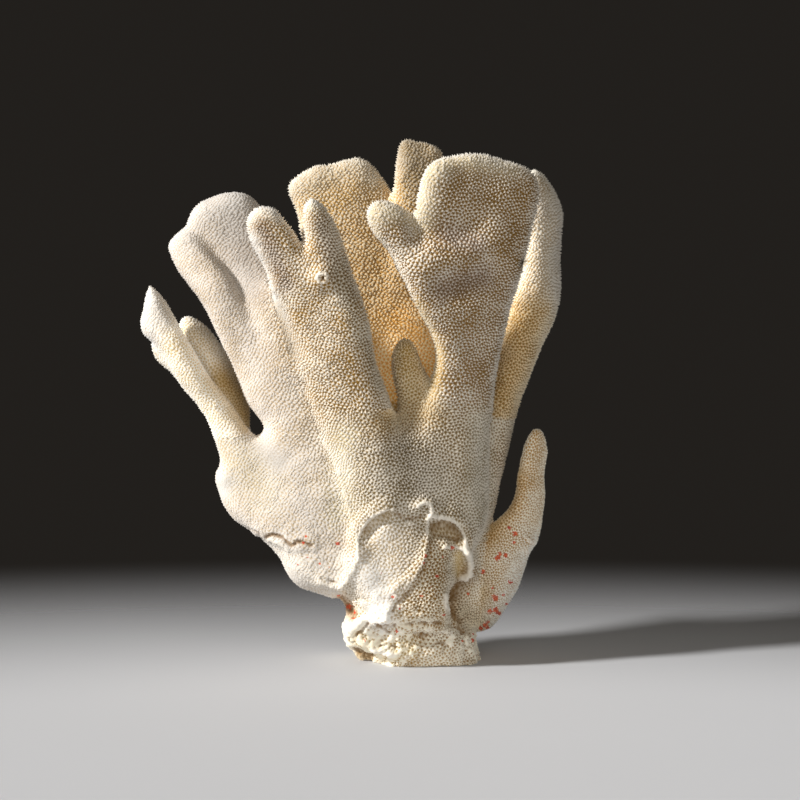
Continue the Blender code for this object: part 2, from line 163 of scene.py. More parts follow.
class Workshop:
    """Shared steps on objects and meshes."""

    @staticmethod
    def place(obj: Object) -> Object:
        """Puts an object into the scene."""
        bpy.context.scene.collection.objects.link(obj)
        bpy.context.view_layer.update()
        return obj

    @staticmethod
    def bake(obj: Object) -> Object:
        """Replaces an object by the mesh that its modifiers give.

        Args:
            obj: the object, which is taken out.

        Returns:
            The new object.
        """
        bpy.context.view_layer.update()
        mesh = bpy.data.meshes.new_from_object(obj.evaluated_get(bpy.context.evaluated_depsgraph_get()))
        baked = bpy.data.objects.new(obj.name, mesh)
        bpy.data.objects.remove(obj)
        return Workshop.place(baked)

    @staticmethod
    def join(objects: Sequence[Object], name: str) -> Object:
        """Joins meshes.

        Args:
            objects: the meshes.
            name: the name of the whole.

        Returns:
            The first object, which now holds them all.
        """
        bpy.ops.object.select_all(action="DESELECT")
        for obj in objects:
            obj.select_set(True)
        bpy.context.view_layer.objects.active = objects[0]
        bpy.ops.object.join()
        objects[0].name = name
        return objects[0]

    @staticmethod
    def modify(obj: Object, kind: str, **settings: Any) -> None:
        """Adds a modifier of this kind to an object, with its settings by name."""
        modifier = obj.modifiers.new(kind.lower(), kind)
        for name, value in settings.items():
            setattr(modifier, name, value)

    @staticmethod
    def read(items: Any, name: str, width: int = 3, kind: type = float) -> Array:
        """One property of the vertices or corners of a mesh, as rows of this width and number type."""
        values = np.empty(len(items) * width, kind)
        items.foreach_get(name, values)
        return values.reshape(-1, width)

    @staticmethod
    def move(obj: Object, points: Array) -> None:
        """Moves the vertices of a mesh to places in millimetres."""
        obj.data.vertices.foreach_set("co", (points * MM).ravel())
        obj.data.update()

    @staticmethod
    def unit(vectors: Array) -> Array:
        """The vectors at length 1."""
        return vectors / np.maximum(np.linalg.norm(vectors, axis=1), TINY)[:, None]

    @staticmethod
    def waves(points: Array, pitch: float) -> Array:
        """Soft noise from -1 to 1 at points, finer with a higher pitch."""
        return np.array([noise.noise(Vector(point) * pitch) for point in points])


@dataclass(frozen=True)
class Blade:
    """One branch: outline (x, z), pins (x, z, depth) of its middle, half thickness (z, half), round edge."""

    name: str
    outline: Line
    pins: Sequence[Triple]
    half: Line
    rounding: float
    voxel: float = 1.3
    bluntness: float = 0.3

    def grow(self) -> Object:
        """Builds the blade.

        Returns:
            A mesh object: the outline's slab, swollen and set back along the lines of sight.
        """
        line = Plane2D.closed_curve(self.outline)
        blade = self.slab(line)
        x, z, side = (Workshop.read(blade.data.vertices, "co") / MM).T
        thickness = np.interp(z, *np.transpose(self.half))
        rim = np.clip(Plane2D.distance(x, z, line, closed=True) / self.rounding, 0, 1)
        swell = self.bluntness + (1 - self.bluntness) * np.sqrt(1 - (1 - rim) ** 2)
        middle = Plane2D.plate_depth(np.array(self.pins, float), x, z)
        Workshop.move(blade, Eye.to_depth(x, z, middle - np.clip(side, -1, 1) * thickness * swell))
        return blade

    def slab(self, line: Array) -> Object:
        """Makes the outline a plate on the drawing plane, 2 mm thick and evenly meshed.

        Args:
            line: the corners of the smooth outline.

        Returns:
            The plate, which lies flat on X and Y.
        """
        curve = bpy.data.curves.new(self.name, "CURVE")
        curve.dimensions = "2D"
        curve.fill_mode = "BOTH"
        curve.extrude = MM
        spline = curve.splines.new("POLY")
        spline.points.add(len(line) - 1)
        for point, (x, z) in zip(spline.points, line):
            point.co = (x * MM, z * MM, 0, 1)
        spline.use_cyclic_u = True
        plate = Workshop.bake(Workshop.place(bpy.data.objects.new(self.name, curve)))
        Workshop.modify(plate, "WELD", merge_threshold=0.01 * MM)
        Workshop.modify(plate, "REMESH", mode="VOXEL", voxel_size=self.voxel * MM)
        return Workshop.bake(plate)


@dataclass(frozen=True)
class Relief:
    """A ridge, knob or hollow on the front: its line (x, z), half width and height, below 0 for a hollow."""

    line: Line
    width: float
    height: float

    def lift(self, x: Array, z: Array) -> Array:
        """How far it lifts the skin at drawn points."""
        away = np.minimum(Plane2D.distance(x, z, self.line) / self.width, 2)
        return self.height * (0.5 + 0.5 * np.cos(away * math.pi / 2))


@dataclass
class Skin:
    """The colony's fused skin, cut flat at the foot, as even quads of about 0.5 mm."""

    blades: Sequence[Blade]
    relief: Sequence[Relief]
    voxel: float = 0.97
    smoothing: int = 20
    regrowth: float = 0.2
    lump_size: float = 16.0
    lump_height: float = 1.6
    facing_gain: float = 2.0
    least_lift: float = 0.01
    cover: float = 2.0
    points: Array = field(init=False)
    normals: Array = field(init=False)
    quads: Array = field(init=False)

    def grow(self) -> None:
        """Builds the skin and keeps its points, normals and quads in millimetres."""
        colony = Workshop.join([blade.grow() for blade in self.blades], "skin")
        lumps = bpy.data.textures.new("lumps", "CLOUDS")
        lumps.noise_scale = self.lump_size * MM
        Workshop.modify(colony, "REMESH", mode="VOXEL", voxel_size=self.voxel * MM)
        Workshop.modify(colony, "SMOOTH", iterations=self.smoothing)
        Workshop.modify(colony, "DISPLACE", mid_level=0, strength=self.regrowth * MM)
        height = self.lump_height * MM
        Workshop.modify(colony, "DISPLACE", texture=lumps, texture_coords="GLOBAL", strength=height)
        colony = Workshop.bake(colony)
        self.raise_relief(colony)
        Workshop.modify(colony, "SUBSURF", levels=1, render_levels=1, boundary_smooth="ALL")
        colony = Workshop.bake(colony)
        self.points, self.normals = self.read(colony)
        self.quads = Workshop.read(colony.data.loops, "vertex_index", 1, int).reshape(-1, 4)
        self.points[:, 2] = np.maximum(self.points[:, 2], 0)
        bpy.data.objects.remove(colony)
        LOG.info("skin: %d points, %d quads", len(self.points), len(self.quads))

    @staticmethod
    def read(obj: Object) -> tuple[Array, Array]:
        """The points of a mesh in millimetres, and its normals."""
        vertices = obj.data.vertices
        return Workshop.read(vertices, "co") / MM, Workshop.read(vertices, "normal")

    def raise_relief(self, colony: Object) -> None:
        """Moves the skin that faces the eye and isn't hidden from it by the relief's height.

        Args:
            colony: the mesh of the skin.
        """
        points, normals = self.read(colony)
        sight = points - Eye.place
        far = np.linalg.norm(sight, axis=1)
        sight = sight / far[:, None]
        x, z = Eye.to_drawing(points)
        lift = sum(relief.lift(x, z) for relief in self.relief)
        facing = np.clip(-(normals * sight).sum(1) * self.facing_gain, 0, 1)
        tree = BVHTree.FromObject(colony, bpy.context.evaluated_depsgraph_get())
        eye = Vector(Eye.place * MM)
        for index in np.flatnonzero((np.abs(lift) > self.least_lift) & (facing > 0)):
            distance = tree.ray_cast(eye, Vector(sight[index]))[3]
            if distance is not None and distance / MM < far[index] - self.cover:
                facing[index] = 0
        Workshop.move(colony, points + normals * (lift * facing)[:, None])


@dataclass
class Pores:
    """Pores seeded over a skin, evenly spaced, and the facets between them."""

    skin: Skin
    seed: int = 7
    settling: int = 3
    centres: Array = field(init=False)
    normals: Array = field(init=False)
    facets: Array = field(init=False)

    def sow(self) -> None:
        """Places the pores and joins each three neighbours by a facet."""
        points, quads = self.skin.points, self.skin.quads
        centres = points[self.spread(len(points), quads)]
        for _ in range(self.settling):
            owner = self.nearest(points, centres)
            count = np.maximum(np.bincount(owner, minlength=len(centres)), 1)
            centres = self.gather(owner, points, len(centres)) / count[:, None]
        owner = self.nearest(points, centres)
        normals = self.gather(owner, self.skin.normals, len(centres))
        labels = owner[np.concatenate((quads[:, (0, 1, 2)], quads[:, (0, 2, 3)]))]
        labels = labels[(labels != np.roll(labels, 1, 1)).all(1)]
        _, once = np.unique(np.sort(labels, axis=1), axis=0, return_index=True)
        self.facets = labels[once]
        self.centres = centres
        self.normals = Workshop.unit(normals)
        LOG.info("pores: %d, facets %d", len(centres), len(self.facets))

    @staticmethod
    def gather(owner: Array, values: Array, count: int) -> Array:
        """The sum of the points' values for each of the pores that own them."""
        return np.column_stack([np.bincount(owner, values[:, k], count) for k in range(3)])

    def spread(self, count: int, quads: Array) -> Array:
        """Chooses points so that no two lie within two edges of each other, and no more fit in.

        Args:
            count: how many points there are.
            quads: the corners of each quad.

        Returns:
            The numbers of the chosen points.
        """
        pairs = np.concatenate([quads[:, (k, (k + 1) % 4)] for k in range(4)])
        pairs = np.unique(np.concatenate((pairs, pairs[:, ::-1])), axis=0)
        first, starts = np.unique(pairs[:, 0], return_index=True)
        others = pairs[:, 1]
        rank = np.random.default_rng(self.seed).permutation(count).astype(float) + 1
        chosen = np.zeros(count, bool)

        def widen(value: Array) -> Array:
            """The highest value at each point and its neighbours."""
            wide = value.copy()
            wide[first] = np.maximum(value[first], np.maximum.reduceat(value[others], starts))
            return wide

        while rank.max() > 0:
            peak = (widen(widen(rank)) == rank) & (rank > 0)
            chosen |= peak
            rank[widen(widen(peak.astype(float))) > 0] = 0
        return np.flatnonzero(chosen)

    @staticmethod
    def nearest(points: Array, centres: Array) -> Array:
        """Finds the centre that lies nearest to each point.

        Args:
            points: the points.
            centres: the centres.

        Returns:
            The number of a centre for each point.
        """
        tree = KDTree(len(centres))
        for index, centre in enumerate(centres):
            tree.insert(centre, index)
        tree.balance()
        return np.array([tree.find(point)[1] for point in points])


BLADES = (
    Blade(
        "foot",
        outline=(
            (-27, 22.5), (-24.4, 17.5), (-25.4, 12.5), (-25.4, 7.5), (-23.2, 3.5), (-20.5, 0.5),
            (-16, -1.5), (-11, -8), (0, -10), (19, -7), (20.2, 0), (19, 5), (18.5, 10), (15, 16),
            (16, 26), (18, 36), (4, 44), (-16, 40), (-22, 30),
        ),
        pins=((0, 0, 3), (-20, 20, 2), (15, 20, 4)),
        half=((0, 13), (12, 14), (20, 15), (44, 10)),
        rounding=13,
    ),
    Blade(
        "heart",
        outline=(
            (-14, 6), (-19, 18), (-22, 32), (-25, 46), (-29, 60), (-31, 72), (-22, 80), (-12, 81),
            (0, 82), (9, 79), (14, 71), (18, 62), (22, 52), (21, 43.5), (16, 35.5), (11, 27), (10, 18),
            (12, 6),
        ),
        pins=((0, 10, 2), (0, 50, 2), (0, 82, 4)),
        half=((6, 13), (60, 10), (82, 5)),
        rounding=12,
    ),
    Blade(
        "front",
        outline=(
            (-12, 8), (-18, 18), (-23, 26), (-27.5, 34), (-28, 44), (-28, 50), (-28.5, 57), (-29.5, 64),
            (-31.5, 71), (-34.5, 79), (-38, 89), (-41.5, 100), (-45, 112), (-48, 123), (-51, 132),
            (-55, 139), (-57.3, 146), (-56.3, 151), (-52.5, 153.3), (-48, 152.3), (-45, 148.8),
            (-42, 144.5), (-38.3, 138.8), (-37.9, 146), (-39, 152), (-37.8, 155.6), (-34.8, 156),
            (-31.8, 153.3), (-28.5, 148), (-25.5, 141), (-22.8, 132), (-19.5, 122), (-16.8, 113),
            (-15.2, 104), (-13.2, 96), (-11, 90.5), (-8.2, 84), (-3, 80), (1.5, 89), (4, 95.5),
            (5.2, 102), (5.2, 107), (3.2, 112.5), (-0.5, 119), (-4, 126), (-7.5, 133), (-11, 139.5),
            (-15, 144), (-17.3, 149), (-16.5, 153.7), (-13, 155), (-8, 153.8), (-4, 151), (-0.7, 144.8),
            (-0.8, 152), (0, 158.5), (1.8, 165), (5.5, 168.6), (11, 169.8), (17, 171.3), (23, 170.4),
            (28, 168.2), (33, 167), (37, 164.8), (39.2, 159.5), (38.8, 153), (36.6, 146), (35, 138),
            (32.5, 129), (30, 119.5), (27.5, 109), (25.2, 98), (23.8, 86), (22.9, 74), (22.7, 62),
            (22.5, 52), (20.5, 43.5), (16.5, 35.5), (11.8, 27), (10.5, 18), (9, 8),
        ),
        pins=(
            (0, 10, -4), (0, 30, -6), (0, 52, -6), (-15, 56, -9), (-24, 55, -6), (18, 55, -2),
            (-16, 74, -11), (-4, 78, -8), (22, 80, -3), (-32, 80, -7), (-42, 110, -8), (-20, 115, -15),
            (-53, 148, -13), (-35, 153, -18), (8, 118, -12), (28, 115, -5), (-14, 150, -14),
            (12, 166, -13), (37, 160, -5), (20, 140, -10),
        ),
        half=((8, 13), (45, 11), (80, 8.5), (120, 7.2), (170, 6)),
        rounding=9.5,
    ),
    Blade(
        "middle_finger",
        outline=(
            (-6.5, 72), (-6.9, 84), (-7.6, 91), (-9.5, 100), (-8.7, 106.5), (-5.2, 110.3), (-2.2, 108),
            (-0.3, 103), (1.8, 98), (4, 92), (4, 82), (2, 72),
        ),
        pins=((-4, 75, -8), (-8, 100, -5.5), (-4, 110, -4.5)),
        half=((72, 7), (110, 4.5)),
        rounding=6,
    ),
    Blade(
        "left",
        outline=(
            (-16, 18), (-26, 21), (-33, 22.6), (-40, 25), (-44.8, 30), (-47.5, 36), (-52, 40.5),
            (-58, 45.5), (-63, 49.3), (-66, 53.5), (-67.8, 59), (-68.8, 63.5), (-66.8, 67.5), (-68.6, 75),
            (-71.3, 83), (-76, 89.8), (-80.5, 95.5), (-85, 103), (-88.8, 108), (-92, 110.5), (-93.4, 115),
            (-91.8, 119.5), (-91.2, 123.5), (-90.4, 128.5), (-87.4, 125.8), (-83.8, 120.8),
            (-80.8, 115.5), (-76.8, 108.2), (-73, 101), (-69, 94.5), (-64.3, 88.5), (-59.6, 82),
            (-56.8, 78), (-54.4, 76.6), (-52.2, 78), (-52.2, 80.5), (-55.6, 84.8), (-58.6, 91),
            (-61.8, 99), (-65.8, 107), (-69.6, 115), (-72.8, 121.5), (-77.5, 128.5), (-81.5, 134.5),
            (-83.3, 140), (-81.5, 143.8), (-77.5, 146.5), (-74, 144.5), (-69.5, 138), (-63.5, 130.5),
            (-58.5, 121.5), (-52, 112), (-44, 102), (-36, 90), (-26, 74), (-18, 50), (-14, 30),
        ),
        pins=(
            (-25, 30, -3), (-24, 48, -5), (-60, 55, 0), (-42, 55, -5), (-62, 68, 0), (-75, 95, 0),
            (-90, 122, 3), (-48, 80, -2), (-60, 100, 2), (-80, 140, 8), (-66, 128, 1), (-45, 106, -5),
            (-28, 70, -4),
        ),
        half=((18, 11), (60, 8), (90, 7), (145, 5.5)),
        rounding=8,
    ),
    Blade(
        "far_left_lobe",
        outline=(
            (-76, 90), (-82.5, 97.2), (-87, 100.8), (-89.3, 105), (-89, 109), (-85, 110.5), (-80, 104),
            (-74, 95),
        ),
        pins=((-78, 93, 3), (-88, 106, 6), (-80, 106, 4)),
        half=((90, 5.5), (110, 4.5)),
        rounding=5,
    ),
    Blade(
        "inner_left_lobe",
        outline=(
            (-55, 62), (-60, 72), (-63, 81), (-68.5, 92), (-75, 103), (-80, 112), (-79.8, 115.5),
            (-77, 117.2), (-72.5, 114.4), (-68, 109.5), (-62, 101), (-58.2, 93), (-56.8, 86.5),
            (-56.8, 81), (-55.5, 74), (-50, 64),
        ),
        pins=((-55, 66, 5), (-77, 115, 17), (-69, 103, 12.5), (-61, 91, 12.5), (-57.5, 80, 9)),
        half=((62, 6), (118, 5)),
        rounding=6,
    ),
    Blade(
        "back_left_inner",
        outline=(
            (-34, 76), (-43, 90), (-50, 101), (-56, 111), (-60, 120), (-63, 128), (-67.5, 134.5),
            (-73, 140), (-77.3, 145.8), (-77, 150), (-74.2, 154.2), (-69.5, 156.3), (-65, 158.2),
            (-60, 158.3), (-55.7, 156.5), (-51.3, 151.5), (-48, 146), (-46, 137), (-45.5, 128),
            (-43, 117), (-38, 107), (-31, 92), (-27, 78),
        ),
        pins=(
            (-33, 80, -4), (-50, 101, -3), (-42, 104, -5), (-60, 125, 5), (-50, 115, -3), (-50, 122, 0),
            (-49, 131, 6), (-68, 140, 10), (-65, 155, 12), (-50, 145, 11),
        ),
        half=((76, 7), (159, 6.5)),
        rounding=8,
    ),
    Blade(
        "back_fan",
        outline=(
            (-14, 40), (-22, 60), (-27, 80), (-32, 100), (-36, 120), (-38.5, 140), (-41, 152.5),
            (-43.9, 159.5), (-42.3, 162.3), (-38, 164.8), (-34.5, 166.6), (-29.5, 166.6), (-25, 168.4),
            (-20, 169.2), (-16.6, 167.3), (-12.9, 162.8), (-9.5, 158), (-6, 150), (0, 138), (7, 126),
            (12, 114), (14, 100), (13, 80), (12, 60), (10, 40),
        ),
        pins=((-5, 42, 8), (-10, 100, 17), (-35, 160, 27), (-15, 165, 29), (12, 110, 18)),
        half=((40, 11), (100, 8), (169, 6.5)),
        rounding=15,
    ),
    Blade(
        "back_finger",
        outline=(
            (-14, 112), (-12.5, 132), (-10.4, 148), (-9.2, 158), (-8.2, 166), (-7.2, 173), (-5.2, 176.4),
            (-1.5, 175), (3.6, 174), (7, 171.8), (8.3, 167.5), (9.8, 158), (11, 144), (12, 128), (8, 112),
        ),
        pins=((0, 115, 19), (-5, 173, 23), (5, 170, 23)),
        half=((112, 6.5), (175, 5)),
        rounding=6,
    ),
    Blade(
        "right_back",
        outline=(
            (8, 30), (12, 46), (15, 62), (18, 78), (21, 93), (25, 106), (29, 120), (32, 130), (33.3, 137),
            (33.5, 145), (32, 154), (33, 161), (36.5, 165.3), (39.5, 164.7), (43, 160.3), (45.8, 154.3),
            (47, 149.3), (46, 144), (45.7, 138), (46.3, 131), (45.8, 122.5), (43.8, 114), (40.3, 107.3),
            (37.3, 99), (34.8, 93), (32, 84), (29.3, 73.5), (27, 62), (24.8, 52), (22, 43), (16, 32),
        ),
        pins=((16, 40, 7), (28, 90, 16), (40, 130, 22), (40, 160, 25)),
        half=((30, 9), (90, 11), (130, 13), (165, 11)),
        rounding=9,
    ),
    Blade(
        "right_finger",
        outline=(
            (8, 14), (8, 24), (12, 33), (19, 40.5), (25, 47), (29.5, 51.3), (31.5, 56.5), (32.3, 62.5),
            (33.5, 69), (35.8, 76), (38.9, 80.4), (41.9, 77), (43, 70.5), (41.9, 63.5), (41.9, 55),
            (40.7, 45.5), (39.2, 40.4), (37.6, 39), (35.6, 32.8), (32.6, 24), (28.6, 17.3), (23, 11),
            (14, 10.5),
        ),
        pins=((14, 20, 6), (30, 45, 9), (39, 78, 3)),
        half=((8, 10), (45, 7), (79, 4.5)),
        rounding=7,
    ),
)

RELIEF = tuple(Relief(*row) for row in (
    (((-19.9, 37.4), (-21.2, 40.5), (-20.9, 44.2), (-19.1, 47.8), (-16.6, 50.4), (-13.5, 52), (-9.9, 52.5)),
     2, 1.5),
    (((-18.2, 43), (-15.8, 47), (-12, 49.2)), 1.8, -1),
    (((-0.7, 53), (1.4, 54), (3.4, 53.8), (5.5, 49.8), (9.1, 49.8), (12.2, 48.6), (14.4, 46.2), (15.4, 42.6),
      (15.2, 39.5), (14.9, 36.4)), 2, 1.8),
    (((16.3, 35.5), (17, 33), (16.5, 30), (13.5, 27.7)), 2.2, 1.8),
    (((4, 45), (8, 45.6), (11.6, 44.2)), 3, -2.6),
    (((12.8, 38), (12.8, 31)), 2.6, -1.8),
    (((2.4, 48.8), (3.2, 42.1), (1.9, 37.4), (0.4, 33.2), (-2.7, 29), (-6.3, 26.4), (-8.9, 23.8)), 1.6, 1.1),
    (((-22.2, 33.2), (-23.7, 28.5), (-26.3, 25.6)), 1.8, 1),
    (((-10.4, 16.4), (-14, 13.3), (-19, 12.5)), 2.4, 1.8),
    (((-14, 11), (-6, 11.6), (4, 11.8), (12, 12.2)), 1.8, -1.4),
    (((-21.5, 31), (-19.5, 23), (-15, 15)), 5, 1.8),
    (((-26.5, 20), (-24, 17)), 3, -2.6),
    (((-23, 12),), 4.5, 1.8),
    (((0.8, 8.6),), 3, -2.4),
    (((-23, 2), (-19, 0.6), (-14, -0.5)), 3, -2.4),
    (((-18, 7), (-8, 4.5), (2, 4), (11, 5)), 3, 1.8),
    (((7, 20),), 3.4, 1.3),
    (((13.6, 26), (11.4, 21), (12, 15.5), (14.2, 11.5)), 2.2, -2.6),
    (((10, 12),), 3, 1.2),
    (((-55, 43.5), (-49, 42.3), (-43.6, 40.2), (-37, 40.7)), 1.8, 0.6),
    (((-32.7, 28), (-26, 26)), 2, 1),
    (((-67, 63),), 3.5, 1.2),
    (((-32.4, 129.8),), 3.2, 2.4),
    (((-49.5, 126.5),), 2.8, 1.2),
    (((21.5, 56), (22.5, 72)), 3, -1),
    (((2, 143), (9, 144), (16, 147)), 5, -1.6),
    (((9, 126), (16, 128), (22, 130)), 5, -1.5),
    (((3, 135), (13, 137.5), (25, 142)), 5, 1.1),
    (((15, 163), (21, 160)), 5, -1),
    (((18, 109),), 5, -0.9),
    (((2, 152), (5, 162)), 4, 0.8),
    (((-88.5, 116.5), (-84, 113.5)), 2.5, -1),
    (((38.1, 40), (36, 41)), 2.6, 1.4),
))


class Slot(Enum):
    """The record's material slots."""

    SKELETON = "skeleton"
    PALE = "pale_skeleton"
    GOLDEN = "golden_skeleton"
    CRUST = "crust"


@dataclass(frozen=True)
class Region:
    """How one node looks.

    Attributes:
        node: the node's name.
        slot: its material slot.
        hollow: the colour down in the pores, in percent of red, green and blue.
        grain: the colour of the grains between them, in the same way.
        wide: how far the hollow's colour reaches up, 0 to 1.
        cup: the depth of the pores.
        hood: the height of the grain over each pore.
        painted glow: how much the node glows. This is an emission in its own colour, painted light that
            stands in for light shining through from behind.
    """

    node: str
    slot: Slot
    hollow: Triple
    grain: Triple
    wide: float
    cup: float
    hood: float
    painted_glow: float = 0.0


REGIONS = (
    # The stump's glow is painted light: an emission that brightens it as if light scattered inside the
    # stone.
    Region("stump", Slot.CRUST, (46, 28, 8), (100, 94, 79), 0.3, 0.46, 0.14, painted_glow=0.4),
    Region("palm", Slot.SKELETON, (27, 17, 5), (96, 88, 75), 0.45, 0.5, 0.58),
    Region("front_left_blade", Slot.SKELETON, (36, 20, 3), (95, 88, 76), 0.5, 0.56, 0.7),
    Region("front_right_blade", Slot.SKELETON, (29, 16, 3), (100, 94, 84), 0.7, 0.54, 0.74),
    Region("left_flank", Slot.PALE, (60, 48, 32), (83, 77.5, 71.5), 0.2, 0.28, 0.23),
    Region("far_left_branch", Slot.PALE, (64, 49, 26), (100, 95, 86), 0.25, 0.34, 0.38),
    Region("back_left_blade", Slot.PALE, (54, 42, 27), (80, 74.5, 69), 0.25, 0.32, 0.32),
    Region("back_blade", Slot.GOLDEN, (54, 33, 9), (92, 82, 66), 0.5, 0.5, 0.66),
    Region("right_back_branch", Slot.GOLDEN, (46, 29, 8), (100, 96, 84), 0.45, 0.5, 0.66),
    # The right finger's glow is painted light: an emission that brightens it as if light scattered inside
    # the stone.
    Region("right_finger", Slot.CRUST, (46, 25, 5), (100, 94, 79), 0.42, 0.52, 0.2, painted_glow=0.4),
)


@dataclass(frozen=True)
class Patch:
    """A soft patch along a line (x, z) that turns the traits of the nodes it names toward its own."""

    line: Line
    reach: float
    nodes: str
    hollow: Triple | None = None
    grain: Triple | None = None
    cup: float | None = None
    hood: float | None = None
    painted_glow: float | None = None
    share: float = 1.0

    def weight(self, x: Array, z: Array) -> Array:
        """Its strength at drawn points."""
        away = np.clip(Plane2D.distance(x, z, self.line) / self.reach, 0, 1)
        return self.share * (0.5 + 0.5 * np.cos(away * math.pi))


